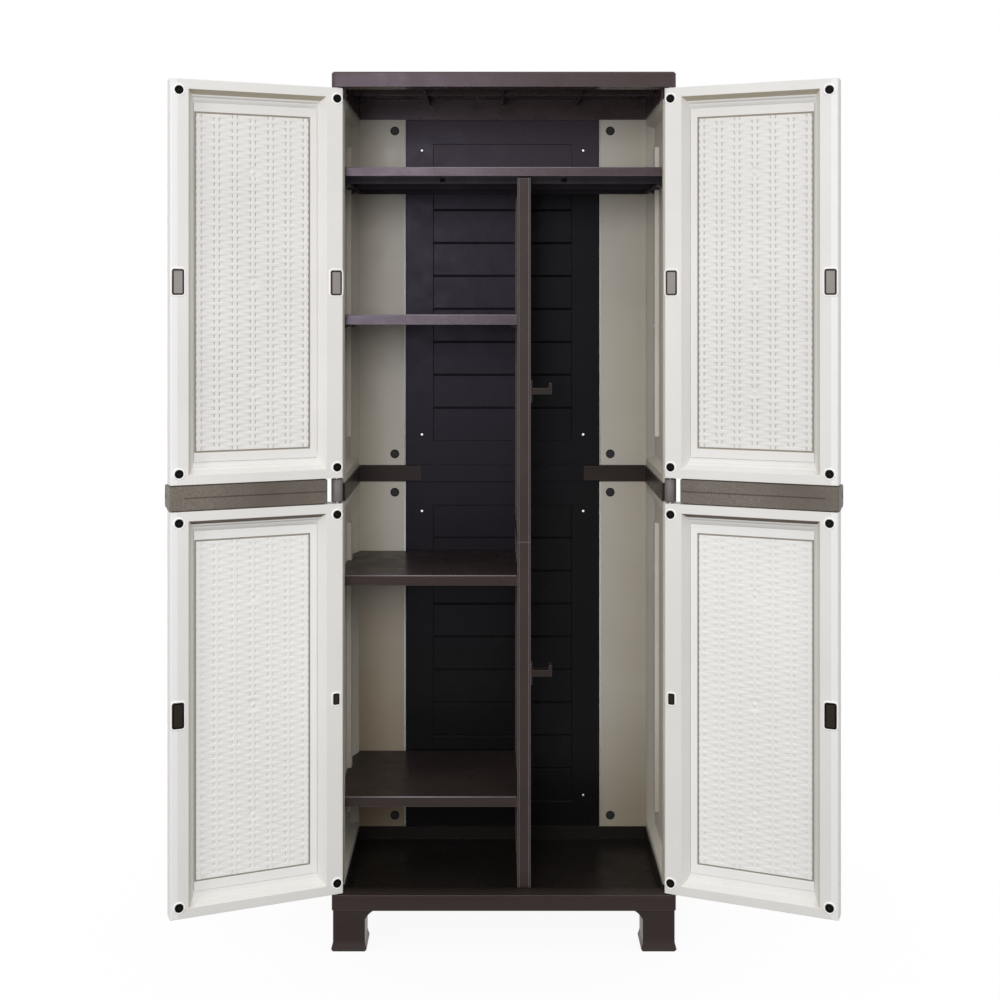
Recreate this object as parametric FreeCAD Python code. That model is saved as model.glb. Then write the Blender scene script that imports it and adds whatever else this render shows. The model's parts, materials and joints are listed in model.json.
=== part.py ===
import FreeCAD, Part
import math
import os

# Garden storage cabinet: a tall two-door cabinet of moulded plastic on four feet.
# All sizes are millimetres.  +X is to the right, +Z up, and the doors are at the -Y side.
# Up to the last step the front face of the lid lies in the plane y = 0.

V = FreeCAD.Vector

# Overall sizes
width = 670.0
depth = 375.0
foot_height = 80.0
base_height = 35.0
panel_view_height = 755.5
belt_height = 36.0
lid_height = 48.0

# Moulding sizes
wall = 17.0
overhang = 4.0
rim_wall = 3.0
skin = 3.0
seat_depth = 10.0
fit_gap = 0.2
front_bar_depth = 38.0
front_bar_height = 30.0
floor_drop = 22.0
floor_skin = 4.0
lid_skin = 4.0
lid_rib_depth = 14.0
rib_wall = 3.0
frame_rib_pitch = 160.0
lid_edge_bevel = 3.0
plan_corner_radius = 8.0

# Feet
foot_width = 62.0
foot_inset = 3.0
foot_shoe_height = 19.0
foot_shoe_bulge = 3.5
foot_shoe_taper = 0.8
foot_gusset = 18.0
gusset_hollow = 0.42
tenon_length = 36.0
tenon_width = 18.0
tenon_height = 20.0

# Side panels
pocket_end_border = 15.0
pocket_end_slope = 10.0
pocket_front_border = 14.0
pocket_front_slope = 22.0
pocket_rear_border = 12.0
pocket_rear_slope = 35.0
return_width = 119.0
field_border = 30.0
field_depth = 3.0
rack_width = 30.0
rack_rise = 8.0
rack_inset = 60.0
rack_spacing = 150.0
rack_end_inset = 73.0
slot_first = 171.0
slot_pitch = 142.0
slot_count = 4
slot_size = 5.0
slot_pair_gap = 10.0

# Centre back panels
tongue_length = 7.0
tongue_wall = 6.0
back_thickness = 10.0
plank_count = 9
plank_pitch = 72.3
plank_field_half_width = 152.0
plank_groove_depth = 2.5
plank_groove_width = 6.0
plank_sink = 1.2
wall_hole_radius = 2.75
wall_hole_half_spacing = 177.0
wall_hole_end_distance = 66.0

# Round plugs
plug_radius = 8.0
plug_edge_distance = 24.0
plug_length = 6.0
plug_head = 1.2
plug_stem = 8.0

# Middle belt
lap_length = 34.0
lap_wall = 3.0
lap_trim = 3.0
knuckle_radius = 11.0
knuckle_height = 44.0
arm_width = 12.0

# Shelves
shelf_front = 50.0
shelf_lip = 20.0
top_shelf_lip = 17.5
top_shelf_body = 30.0
top_shelf_setback = 38.0
top_shelf_lip_wall = 6.0
rail_hole_width = 10.5
rail_hole_height = 8.5
rail_hole_place = 121.5
shelf_rim = 3.0
shelf_skin = 3.0
shelf_rib_depth = 10.0
shelf_rib_pitch = 95.0
shelf_gap = 1.0
top_shelf_below_lid = 133.0
upper_shelf_above_belt = 331.0
middle_shelf_below_belt = 148.5
lower_shelf_above_base = 169.5
peg_width = 14.0
peg_height = 8.0
peg_hold = 5.5
peg_reach = 11.0

# Divider
divider_centre = 40.5
divider_wall = 26.0
divider_field_depth = 4.0
divider_border = 16.0
divider_front_groove = 2.0
divider_front_rim = 4.0
divider_seam_below_belt = 83.0
divider_end_border = 14.0
divider_tongue_inset = 20.0
divider_tongue = 6.0
nose_below_lip = 4.0

# Broom hooks
upper_hook_above_belt = 179.5
lower_hook_above_base = 413.0
hook_reach = 42.0
hook_width = 22.0
hook_arm = 12.0
hook_tip = 6.0
hook_tip_rise = 11.0
hook_bend = 2.5
hook_plate = 3.0
hook_plate_height = 44.0
hook_stud_width = 6.0
hook_stud_spacing = 26.0
hook_setback = 8.0
hook_stud_inset = 8.0

# Doors
pivot_inset = 9.5
pivot_setback = 16.0
door_front_thickness = 20.0
door_inner_thickness = 14.0
door_side_gap = 0.6
door_centre_gap = 1.2
door_end_gap = 2.0
door_open_angle = 158.0
door_strip_height = 46.0
door_strip_gap = 2.0
door_border_side = 34.0
door_border_end = 18.0
door_recess_depth = 22.0
door_recess_slope = 14.0
door_recess_end_slope = 22.5
door_outer_border = 40.0
door_outer_depth = 4.0
door_outer_slope = 5.0
door_edge_radius = 3.5
door_plug_hinge_side = 12.5
door_plug_free_side = 16.5
door_plug_end = 21.0
clip_side = 14.5
clip_width = 22.0
clip_height = 48.0
clip_depth = 5.0
clip_corner = 4.0
clip_border = 3.0
small_clip_corner = 2.5
small_clip_width = 12.0
small_clip_height = 21.0
strip_knuckle_room = 23.5
strip_centre_gap = 0.4
strip_proud = 1.0
strip_groove_depth = 1.2
strip_groove_width = 1.6
strip_tenon_inset = 5.0
handle_length = 26.0
handle_proud = 28.0
handle_wall = 9.0
handle_end_step = 1.0
handle_trim = 1.5
handle_corner = 8.0
padlock_hole_radius = 4.5
padlock_hole_share = 0.62

# Hinge pins
pin_radius = 5.0
pin_running_gap = 0.05
pin_in_frame = 12.0
pin_in_door = 20.0

# Levels, from the floor up
base_level = foot_height
sill_level = base_level + front_bar_height
lower_panel_level = base_level + base_height
belt_level = lower_panel_level + panel_view_height
upper_panel_level = belt_level + belt_height
lid_level = upper_panel_level + panel_view_height
height = lid_level + lid_height
head_level = height - front_bar_height + 0.5
floor_level = sill_level - floor_drop
ceiling_level = height - lid_skin - lid_rib_depth

top_shelf_level = lid_level - top_shelf_below_lid
upper_shelf_level = upper_panel_level + upper_shelf_above_belt
middle_shelf_level = belt_level - middle_shelf_below_belt
lower_shelf_level = lower_panel_level + lower_shelf_above_base
divider_seam_level = belt_level - divider_seam_below_belt
hook_levels = (upper_panel_level + upper_hook_above_belt, lower_panel_level + lower_hook_above_base)

# Places across and along the cabinet
half_width = width / 2.0
side_outer = half_width - overhang
side_inner = side_outer - wall
rim_inner = side_inner - rim_wall
back_outer = depth - overhang
back_inner = back_outer - wall
rear_rim_inner = back_inner - rim_wall
panel_front = front_bar_depth + 2.0
panel_height = panel_view_height + 2.0 * seat_depth
return_end = side_outer - return_width
pocket_floor = side_outer - skin
rack_face = pocket_floor - rack_rise
rack_centres = (panel_front + rack_inset, panel_front + rack_inset + rack_spacing)
divider_left = divider_centre - divider_wall / 2.0
divider_right = divider_centre + divider_wall / 2.0
pivot_x = half_width - pivot_inset
pivot_y = pivot_setback

# Door levels
door_low = sill_level + door_end_gap
door_high = head_level - door_end_gap
strip_centre = (door_low + door_high) / 2.0
strip_low = strip_centre - door_strip_height / 2.0
strip_high = strip_centre + door_strip_height / 2.0
door_hinge_edge = -(pivot_inset - door_side_gap)
door_free_edge = pivot_x - door_centre_gap
strip_end = pivot_x - strip_centre_gap
door_front = -door_front_thickness
door_inner = door_inner_thickness
padlock_level = door_front - handle_proud * padlock_hole_share


# Basic shapes

def block(x0, x1, y0, y1, z0, z1):
    """A box between two corners, given in any order."""
    low = V(min(x0, x1), min(y0, y1), min(z0, z1))
    return Part.makeBox(abs(x1 - x0), abs(y1 - y0), abs(z1 - z0), low)


def fuse_all(shapes):
    """One solid from several that touch or cross."""
    if len(shapes) == 1:
        return shapes[0]
    return shapes[0].fuse(shapes[1:]).removeSplitter()


def cut_all(shape, tools):
    """The shape less every tool."""
    return shape.cut(tools).removeSplitter() if tools else shape


def mirror_x(shape):
    """The same piece for the other side of the cabinet."""
    return shape.mirror(V(0, 0, 0), V(1, 0, 0))


def rectangle(normal, level, a0, a1, b0, b1):
    """The corners of a rectangle square to X, Y or Z at a level."""
    corners = ((a0, b0), (a1, b0), (a1, b1), (a0, b1))
    if normal == "x":
        return [V(level, a, b) for a, b in corners]
    if normal == "y":
        return [V(a, level, b) for a, b in corners]
    return [V(a, b, level) for a, b in corners]


def flat_face(points):
    """A flat face with the given corners."""
    return Part.Face(Part.makePolygon(list(points) + [points[0]]))


def taper(normal, sections):
    """A body with flat sloping walls through a row of rectangles, such as a moulded hollow."""
    rings = [rectangle(normal, *section) for section in sections]
    walls = [flat_face(rings[0]), flat_face(rings[-1])]
    for near, far in zip(rings[:-1], rings[1:]):
        for here in range(4):
            there = (here + 1) % 4
            walls.append(flat_face((near[here], near[there], far[there], far[here])))
    solid = Part.Solid(Part.Shell(walls))
    if solid.Volume < 0:
        solid.reverse()
    return solid


def upright_edges(shape, places, reach=0.1):
    """The edges parallel to Z that stand at the given points of the plan."""
    found = []
    for edge in shape.Edges:
        ends = [vertex.Point for vertex in edge.Vertexes]
        if len(ends) == 2 and math.hypot(ends[0].x - ends[1].x, ends[0].y - ends[1].y) < reach:
            if any(math.hypot(ends[0].x - x, ends[0].y - y) < reach for x, y in places):
                found.append(edge)
    return found


def upright_cylinder(radius, x, y, z0, z1):
    """A round bar or hole along Z."""
    return Part.makeCylinder(radius, z1 - z0, V(x, y, z0), V(0, 0, 1))


def prism(points, direction):
    """A straight extrusion of a closed outline."""
    return flat_face(points).extrude(direction)


# Frame pieces: base, lid and belt

def plan_corners(y_front):
    """Outer corners of the frame pieces in plan."""
    return [(x, y) for x in (-half_width, half_width) for y in (y_front, depth)]


def frame_block(z0, z1):
    """A slab with the full outline of the cabinet and rounded upright edges."""
    slab = block(-half_width, half_width, 0, depth, z0, z1)
    return slab.makeFillet(plan_corner_radius, upright_edges(slab, plan_corners(0)))


def panel_channel(z0, z1):
    """The slot that takes the ends of the side and back panels."""
    gap = fit_gap
    outer = block(-side_outer - gap, side_outer + gap, panel_front - gap, back_outer + gap, z0, z1)
    inner = block(-side_inner + gap, side_inner - gap, panel_front - gap - 1.0, back_inner - gap, z0, z1)
    return outer.cut(inner)


def rib_grid(z0, z1, pitch):
    """Crossed stiffening ribs inside the rim of the base or the lid."""
    ribs = []
    count_x = int(rim_inner // pitch)
    for step in range(-count_x, count_x + 1):
        x = step * pitch
        ribs.append(block(x - rib_wall / 2, x + rib_wall / 2, front_bar_depth, rear_rim_inner, z0, z1))
    count_y = int((rear_rim_inner - front_bar_depth) // pitch)
    for step in range(1, count_y + 1):
        y = front_bar_depth + step * (rear_rim_inner - front_bar_depth) / (count_y + 1)
        ribs.append(block(-rim_inner, rim_inner, y - rib_wall / 2, y + rib_wall / 2, z0, z1))
    return ribs


def foot_places():
    """Outer corner signs and the front-to-back side of each foot."""
    return [(side, end) for side in (-1, 1) for end in ("front", "rear")]


def tenon_box(side, end, gap, z1):
    """The foot's tenon, or with a gap its socket in the base."""
    x0 = side * (side_outer - wall - tenon_length)
    x1 = side * (side_outer - wall)
    middle = front_bar_depth / 2.0 if end == "front" else (rear_rim_inner + depth) / 2.0
    low_x = min(x0, x1) - gap
    high_x = max(x0, x1) + gap
    return block(low_x, high_x, middle - tenon_width / 2 - gap, middle + tenon_width / 2 + gap,
                 base_level, z1 + gap)


def make_base():
    """Tray with a door sill, a rim for the wall panels and sockets for the feet."""
    outline = frame_block(base_level, lower_panel_level)
    above_sill = block(-width, width, -depth, front_bar_depth, sill_level, lower_panel_level + 1)
    tray = block(-rim_inner, rim_inner, front_bar_depth, rear_rim_inner, floor_level, lower_panel_level + 1)
    underside = block(-rim_inner, rim_inner, front_bar_depth, rear_rim_inner,
                      base_level - 1, floor_level - floor_skin)
    channel = panel_channel(lower_panel_level - seat_depth, lower_panel_level + 1)
    body = outline.cut([above_sill, tray, underside, channel])
    ribs = rib_grid(base_level, floor_level - floor_skin, frame_rib_pitch)
    pads = []
    for side, end in foot_places():
        y0 = foot_inset if end == "front" else depth - foot_inset - foot_width
        pads.append(block(side * (rim_inner - foot_width / 2), side * (rim_inner + 1), y0, y0 + foot_width,
                          base_level, floor_level - floor_skin))
    body = fuse_all([body] + ribs + pads)
    tools = [tenon_box(side, end, fit_gap, base_level + tenon_height) for side, end in foot_places()]
    for side in (-1, 1):
        tools.append(upright_cylinder(pin_radius + pin_running_gap, side * pivot_x, pivot_y,
                                      sill_level - pin_in_frame - 1.0, sill_level + 1))
    return cut_all(body, tools)


def make_lid():
    """Lid with a ribbed underside, a head bar over the doors and a rim for the panels."""
    outline = frame_block(lid_level, height)
    top_edges = [edge for edge in outline.Edges
                 if all(abs(vertex.Point.z - height) < 0.01 for vertex in edge.Vertexes)]
    outline = outline.makeChamfer(lid_edge_bevel, top_edges)
    below_head = block(-width, width, -depth, front_bar_depth, lid_level - 1, head_level)
    hollow = block(-rim_inner, rim_inner, front_bar_depth, rear_rim_inner, lid_level - 1, height - lid_skin)
    channel = panel_channel(lid_level - 1, lid_level + seat_depth)
    body = outline.cut([below_head, hollow, channel])
    body = fuse_all([body] + rib_grid(ceiling_level, height - lid_skin, frame_rib_pitch))
    bores = [upright_cylinder(pin_radius + pin_running_gap, side * pivot_x, pivot_y,
                              head_level - 1, head_level + pin_in_frame + 1.0) for side in (-1, 1)]
    return cut_all(body, bores)


def make_foot(side, end):
    """Square foot with a bulged shoe, two curved gussets and a tenon on top."""
    outer_x = half_width - foot_inset
    x0, x1 = sorted((side * outer_x, side * (outer_x - foot_width)))
    y0 = foot_inset if end == "front" else depth - foot_inset - foot_width
    y1 = y0 + foot_width
    # Each level of the shoe: height as a share of the shoe's, and how far it stands out.
    levels = ((0.0, 0.0), (0.3, foot_shoe_bulge), (0.8, foot_shoe_taper), (1.0, 0.0))
    shoe = taper("z", [(share * foot_shoe_height, x0 - grow, x1 + grow, y0 - grow, y1 + grow)
                       for share, grow in levels])
    column = block(x0, x1, y0, y1, foot_shoe_height, foot_height)
    # The gussets brace the foot along the front and along the side of the base.
    inner_x = x0 if side > 0 else x1
    inner_y = y1 if end == "front" else y0
    way_x = -side
    way_y = 1 if end == "front" else -1
    gusset_x = gusset(V(inner_x, y0, foot_height), V(way_x, 0, 0), V(0, foot_width, 0))
    gusset_y = gusset(V(x0, inner_y, foot_height), V(0, way_y, 0), V(foot_width, 0, 0))
    tenon = tenon_box(side, end, 0.0, base_level + tenon_height)
    return fuse_all([shoe, column, gusset_x, gusset_y, tenon])


def gusset(corner, outward, along):
    """A bracket with a hollow curved edge between a column and the base above it."""
    tip = corner + outward * foot_gusset
    toe = corner - V(0, 0, foot_gusset)
    inset = foot_gusset * gusset_hollow
    middle = corner + outward * inset - V(0, 0, inset)
    curve = Part.Arc(tip, middle, toe).toShape()
    outline = Part.Wire([Part.makeLine(corner, tip), curve, Part.makeLine(toe, corner)])
    return Part.Face(outline).extrude(along)


def belt_ring():
    """The whole middle belt before it is divided, with panel slots above and below."""
    slab = block(-half_width, half_width, front_bar_depth, depth, belt_level, upper_panel_level)
    rear_corners = [(-half_width, depth), (half_width, depth)]
    slab = slab.makeFillet(plan_corner_radius, upright_edges(slab, rear_corners))
    inside = block(-rim_inner, rim_inner, front_bar_depth - 1, rear_rim_inner, belt_level - 1,
                   upper_panel_level + 1)
    low_slot = panel_channel(belt_level - 1, belt_level + seat_depth)
    high_slot = panel_channel(upper_panel_level - seat_depth, upper_panel_level + 1)
    return slab.cut([inside, low_slot, high_slot])


def lap_box(gap):
    """The tab that bridges the joint between the left and the rear belt."""
    return block(-return_end - 1.0, -return_end + lap_length + gap,
                 rear_rim_inner, rear_rim_inner + lap_wall + gap,
                 belt_level + lap_trim - gap, upper_panel_level - lap_trim + gap)


def make_belt_side():
    """Left belt piece: side, rear corner, tab and the hinge knuckle with its arm."""
    keep = block(-half_width, -return_end, 0, depth, belt_level, upper_panel_level)
    piece = belt_ring().common(keep)
    web_low = belt_level + seat_depth
    web_high = upper_panel_level - seat_depth
    knuckle_low = strip_centre - knuckle_height / 2
    knuckle_high = strip_centre + knuckle_height / 2
    knuckle = upright_cylinder(knuckle_radius, -pivot_x, pivot_y, knuckle_low, knuckle_high)
    arm = block(-pivot_x - arm_width / 2, -pivot_x + arm_width / 2, pivot_y, front_bar_depth + 1.0,
                knuckle_low, upper_panel_level)
    lap = lap_box(0.0)
    lap_root = block(-return_end - 1.0, -return_end, rear_rim_inner, rear_rim_inner + lap_wall,
                     web_low, web_high)
    piece = fuse_all([piece, knuckle, arm, lap, lap_root])
    bore = upright_cylinder(pin_radius + pin_running_gap, -pivot_x, pivot_y,
                            knuckle_low - 1, knuckle_high + 1)
    return cut_all(piece, [bore])


def make_belt_rear():
    """Rear belt piece between the two side pieces, relieved for their tabs."""
    keep = block(-return_end + fit_gap, return_end - fit_gap, 0, depth, belt_level, upper_panel_level)
    piece = belt_ring().common(keep)
    left_lap = lap_box(fit_gap)
    return cut_all(piece, [left_lap, mirror_x(left_lap)])


# Wall panels

def make_side_panel(low):
    """Left wall panel, L-shaped in plan: a side wall and a return along the back."""
    high = low + panel_height
    side = block(-side_outer, -side_inner, panel_front, back_outer, low, high)
    rear = block(-side_outer, -return_end, back_inner, back_outer, low, high)
    body = side.fuse(rear).removeSplitter()
    rear_edge = upright_edges(body, [(-side_outer, back_outer)])
    body = body.makeFillet(plan_corner_radius - overhang / 2, rear_edge)
    view_low = low + seat_depth
    view_high = high - seat_depth
    body = body.cut([side_pocket(view_low, view_high), outer_field(view_low, view_high),
                     tongue_groove(low, high)])
    body = fuse_all([body] + rack_strips(view_low, view_high))
    holes = rack_slots(view_low) + return_plug_holes(view_low, view_high)
    holes += peg_holes((-rack_face,), low, high)
    return cut_all(body, holes)


def side_pocket(low, high):
    """The large sloped hollow on the inside of the side wall."""
    y0 = panel_front + pocket_front_border
    y1 = back_inner - pocket_rear_border
    z0 = low + pocket_end_border
    z1 = high - pocket_end_border
    mouth = (-side_inner + 0.01, y0, y1, z0, z1)
    floor = (-pocket_floor, y0 + pocket_front_slope, y1 - pocket_rear_slope,
             z0 + pocket_end_slope, z1 - pocket_end_slope)
    return taper("x", [mouth, floor])


def outer_field(low, high):
    """The shallow sunk field that frames the woven pattern on the outside of the side wall."""
    z0 = low + field_border
    z1 = high - field_border
    y0 = panel_front + field_border
    y1 = back_outer - field_border
    depth_left = min(field_depth, skin * 0.5)
    mouth = (-side_outer - 0.01, y0, y1, z0, z1)
    floor = (-side_outer + depth_left, y0 + field_depth, y1 - field_depth,
             z0 + field_depth, z1 - field_depth)
    return taper("x", [mouth, floor])


def tongue_groove(low, high):
    """The groove in the free edge of the return that takes the centre panel's tongue."""
    middle = (back_inner + back_outer) / 2.0
    half = tongue_wall / 2.0 + fit_gap
    return block(-return_end - tongue_length - fit_gap, -return_end + 1.0, middle - half, middle + half,
                 low - 1.0, high + 1.0)


def rack_strips(low, high):
    """Two upright ribs in the pocket that carry the shelf pegs."""
    z0 = low + rack_end_inset
    z1 = high - rack_end_inset
    strips = []
    for centre in rack_centres:
        strips.append(block(-pocket_floor - skin / 2, -rack_face, centre - rack_width / 2,
                            centre + rack_width / 2, z0, z1))
    return strips


def rack_slots(low):
    """Pairs of small three-sided notches up each rack strip."""
    notches = []
    for centre in rack_centres:
        for step in range(slot_count):
            level = low + slot_first + slot_pitch * step
            for lift, way in ((-slot_pair_gap / 2, -1), (slot_pair_gap / 2, 1)):
                z = level + lift
                corners = (V(-rack_face + 1, centre - slot_size, z),
                           V(-rack_face + 1, centre + slot_size, z),
                           V(-rack_face + 1, centre, z + way * slot_size))
                notches.append(prism(corners, V(-rack_rise * 0.6 - 1, 0, 0)))
    return notches


def return_plug_holes(low, high):
    """Square blind holes for the stems of the round plugs in the corners of the return."""
    x = -return_end - plug_edge_distance
    return [square_bar(V(x, back_inner, z), 1, plug_stem + fit_gap, plug_length + fit_gap)
            for z in (low + plug_edge_distance, high - plug_edge_distance)]


def square_bar(mouth, way, side, length):
    """A square bar along Y from a mouth, one way or the other."""
    return block(mouth.x - side / 2, mouth.x + side / 2, mouth.y, mouth.y + way * length,
                 mouth.z - side / 2, mouth.z + side / 2)


def make_panel_plugs():
    """The round plugs of all four wall panels."""
    plugs = []
    for panel_low in (lower_panel_level, upper_panel_level):
        for level in (panel_low + plug_edge_distance, panel_low + panel_view_height - plug_edge_distance):
            for side in (-1, 1):
                x = side * (return_end + plug_edge_distance)
                plugs.append(plug_at(V(x, back_inner, level), 1))
    return Part.makeCompound(plugs)


def plug_at(mouth, way):
    """A push-in plug: a round head on the face and a square stem along Y into it."""
    head = Part.makeCylinder(plug_radius, plug_head, mouth, V(0, -way, 0))
    return head.fuse(square_bar(mouth, way, plug_stem, plug_length))


def make_back_panel(low):
    """Centre back panel with level planks, side tongues and four wall holes."""
    high = low + panel_height
    view_low = low + seat_depth
    view_high = high - seat_depth
    middle = (back_inner + back_outer) / 2.0
    half = return_end - fit_gap
    front = middle - back_thickness / 2
    rear = middle + back_thickness / 2
    body = block(-half, half, front, rear, low, high)
    tongues = [block(side * (half - 1), side * (half + tongue_length), middle - tongue_wall / 2,
                     middle + tongue_wall / 2, low, high) for side in (-1, 1)]
    body = fuse_all([body] + tongues)
    # Cheeks at the top and bottom fill the panel slots of the frame pieces.
    cheeks = []
    for z0, z1 in ((low, view_low), (view_high, high)):
        cheeks.append(block(-half, half, back_inner, back_outer, z0, z1))
    body = fuse_all([body] + cheeks)
    field_half = plank_count * plank_pitch / 2.0
    centre = (view_low + view_high) / 2.0
    tools = []
    for face, way in ((front, 1), (rear, -1)):
        mouth = (face - way * 0.01, -plank_field_half_width, plank_field_half_width,
                 centre - field_half, centre + field_half)
        floor = (face + way * plank_sink, -plank_field_half_width + plank_sink,
                 plank_field_half_width - plank_sink,
                 centre - field_half + plank_sink, centre + field_half - plank_sink)
        tools.append(taper("y", [mouth, floor]))
        for step in range(1, plank_count):
            z = centre - field_half + step * plank_pitch
            tip = face + way * (plank_sink + plank_groove_depth)
            lip = face + way * plank_sink
            corners = (V(-plank_field_half_width + plank_sink, lip - way * 0.5, z - plank_groove_width / 2),
                       V(-plank_field_half_width + plank_sink, lip - way * 0.5, z + plank_groove_width / 2),
                       V(-plank_field_half_width + plank_sink, tip, z))
            tools.append(prism(corners, V(2 * (plank_field_half_width - plank_sink), 0, 0)))
    for x in (-wall_hole_half_spacing, wall_hole_half_spacing):
        for z in (view_low + wall_hole_end_distance, view_high - wall_hole_end_distance):
            start = V(x, back_inner - wall / 2, z)
            tools.append(Part.makeCylinder(wall_hole_radius, wall * 2, start, V(0, 1, 0)))
    return cut_all(body, tools)


# Shelves, their pegs and the divider

def shelf_side_points(side, edge_gap):
    """Plan outline of a shelf's edge against a side wall, from front to back."""
    wide = pocket_floor - edge_gap
    narrow = side_inner - edge_gap
    notch = rack_face - edge_gap
    mouth_front = panel_front + pocket_front_border + edge_gap
    mouth_rear = back_inner - pocket_rear_border - edge_gap
    points = [(narrow, shelf_front), (narrow, mouth_front + edge_gap),
              (wide, mouth_front + pocket_front_slope)]
    for centre in rack_centres:
        y0 = centre - rack_width / 2 - edge_gap
        y1 = centre + rack_width / 2 + edge_gap
        points += [(wide, y0), (notch, y0), (notch, y1), (wide, y1)]
    points += [(wide, mouth_rear - pocket_rear_slope), (narrow, mouth_rear - edge_gap),
               (narrow, back_inner - edge_gap - rim_wall)]
    return [(side * x, y) for x, y in points]


def make_shelf(level, full_width, body_depth):
    """A shelf ribbed below, with a lip in front, notched round the rack strips."""
    gap = shelf_gap
    left = shelf_side_points(-1, gap)
    rear = back_inner - gap - rim_wall
    if full_width:
        right = shelf_side_points(1, gap)
    else:
        right = [(divider_left - gap, shelf_front), (divider_left - gap, rear)]
    outline = left + right[::-1]
    points = [V(x, y, level - body_depth) for x, y in outline]
    body = prism(points, V(0, 0, body_depth))
    x0 = -side_inner + gap + shelf_rim * 2
    x1 = (side_inner if full_width else divider_left) - gap - shelf_rim * 2
    y0 = shelf_front + shelf_rim * 2
    y1 = rear - shelf_rim * 2
    rib_high = level - shelf_rim - shelf_skin
    rib_low = rib_high - shelf_rib_depth
    # The deck lies a little below the lip along its front edge.
    tools = [block(-width, width, y0, depth, level - shelf_rim, level + 1)]
    if full_width:
        # The deep body of the top shelf stands back from its front lip, with a hollow between them.
        body_front = shelf_front + top_shelf_setback
        tools.append(block(-width, width, shelf_front - 1, body_front,
                           level - body_depth - 1, level - top_shelf_lip))
        tools.append(block(x0, x1, shelf_front + top_shelf_lip_wall, body_front,
                           level - body_depth, rib_high))
        hole_top = level - top_shelf_lip
        for side in (-1, 1):
            middle = side * rail_hole_place
            tools.append(block(middle - rail_hole_width / 2, middle + rail_hole_width / 2, body_front - 1,
                               body_front + shelf_rim + 1, hole_top - rail_hole_height, hole_top))
        y0 = body_front + shelf_rim
        rib_low = level - body_depth
    tools.append(block(x0, x1, y0, y1, level - body_depth - 1, rib_high))
    body = body.cut(tools)
    ribs = []
    count = int((x1 - x0) // shelf_rib_pitch)
    for step in range(1, count + 1):
        x = x0 + step * (x1 - x0) / (count + 1)
        ribs.append(block(x - rib_wall / 2, x + rib_wall / 2, shelf_front + shelf_rim, y1,
                          rib_high - shelf_rib_depth, rib_high))
    middle = (y0 + y1) / 2
    ribs.append(block(x0, x1, middle - rib_wall / 2, middle + rib_wall / 2, rib_low, rib_high))
    return fuse_all([body] + ribs)


def shelf_plan():
    """Top level, span and body depth of each shelf, from the top down."""
    return ((top_shelf_level, True, top_shelf_body), (upper_shelf_level, False, shelf_lip),
            (middle_shelf_level, False, shelf_lip), (lower_shelf_level, False, shelf_lip))


def peg_shape(face, y, level, way, hold, reach, gap):
    """A shelf peg: a flat-topped tab with a sloped underside, from inside a face outwards."""
    half = peg_width / 2 + gap
    back = face - way * hold
    tip = face + way * reach
    low = level - peg_height - gap
    high = level + gap
    nose = level - peg_height * 0.45
    corners = [V(back, y - half, high), V(tip, y - half, high), V(tip, y - half, nose if gap == 0 else low),
               V(face, y - half, low), V(back, y - half, low)]
    return prism(corners, V(0, 2 * half, 0))


def peg_seats():
    """Face, depth place, level and direction of every shelf peg."""
    seats = []
    for level, full_width, body_depth in shelf_plan():
        for y in rack_centres:
            seats.append((-rack_face, y, level - body_depth, 1))
            if full_width:
                seats.append((rack_face, y, level - body_depth, -1))
            else:
                seats.append((divider_left, y, level - body_depth, -1))
    return seats


def peg_holes(faces, low, high):
    """Holes for the pegs that stand on the named faces between two levels."""
    return [peg_shape(face, y, level, way, peg_hold + fit_gap, 1.0, fit_gap)
            for face, y, level, way in peg_seats() if face in faces and low < level - peg_height < high]


def make_shelf_pegs():
    """All the pegs that carry the shelves."""
    return Part.makeCompound([peg_shape(face, y, level, way, peg_hold, peg_reach, 0.0)
                              for face, y, level, way in peg_seats()])


def make_divider(low, high, is_lower):
    """Upright partition with sunk fields in its faces and a groove up its front edge."""
    rear = rear_rim_inner - fit_gap
    body = block(divider_left, divider_right, shelf_front, rear, low, high)
    groove = block(divider_left + divider_front_rim, divider_right - divider_front_rim, shelf_front - 1,
                   shelf_front + divider_front_groove, low - 1, high + top_shelf_body)
    tools = [groove]
    rack_half = rack_width / 2
    bays = ((shelf_front + divider_end_border, rack_centres[0] - rack_half),
            (rack_centres[0] + rack_half, rack_centres[1] - rack_half),
            (rack_centres[1] + rack_half, rear - divider_end_border))
    for y0, y1 in bays:
        for face, inward in ((divider_left, 1), (divider_right, -1)):
            tools.append(block(face - inward, face + inward * divider_field_depth, y0, y1,
                               low + divider_border, high - divider_border))
    body = body.cut(tools)
    middle = divider_centre
    tongue_half = divider_wall / 4
    if is_lower:
        socket = block(middle - tongue_half - fit_gap, middle + tongue_half + fit_gap,
                       shelf_front + divider_tongue_inset - fit_gap, rear - divider_tongue_inset + fit_gap,
                       high - divider_tongue - fit_gap, high + 1)
        body = body.cut([socket])
    else:
        tongue = block(middle - tongue_half, middle + tongue_half, shelf_front + divider_tongue_inset,
                       rear - divider_tongue_inset, low - divider_tongue, low + 1)
        # A nose rises in front of the top shelf's body, up to its lip.
        nose = block(divider_left, divider_right, shelf_front, shelf_front + top_shelf_setback - shelf_gap,
                     high - 1, high + top_shelf_body - top_shelf_lip - nose_below_lip)
        body = fuse_all([body, tongue, nose.cut(groove)])
    holes = peg_holes((divider_left,), low, high)
    for level in hook_levels:
        if low < level < high:
            holes += hook_studs(level, fit_gap / 4, 1.0)
    return cut_all(body, holes)


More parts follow.
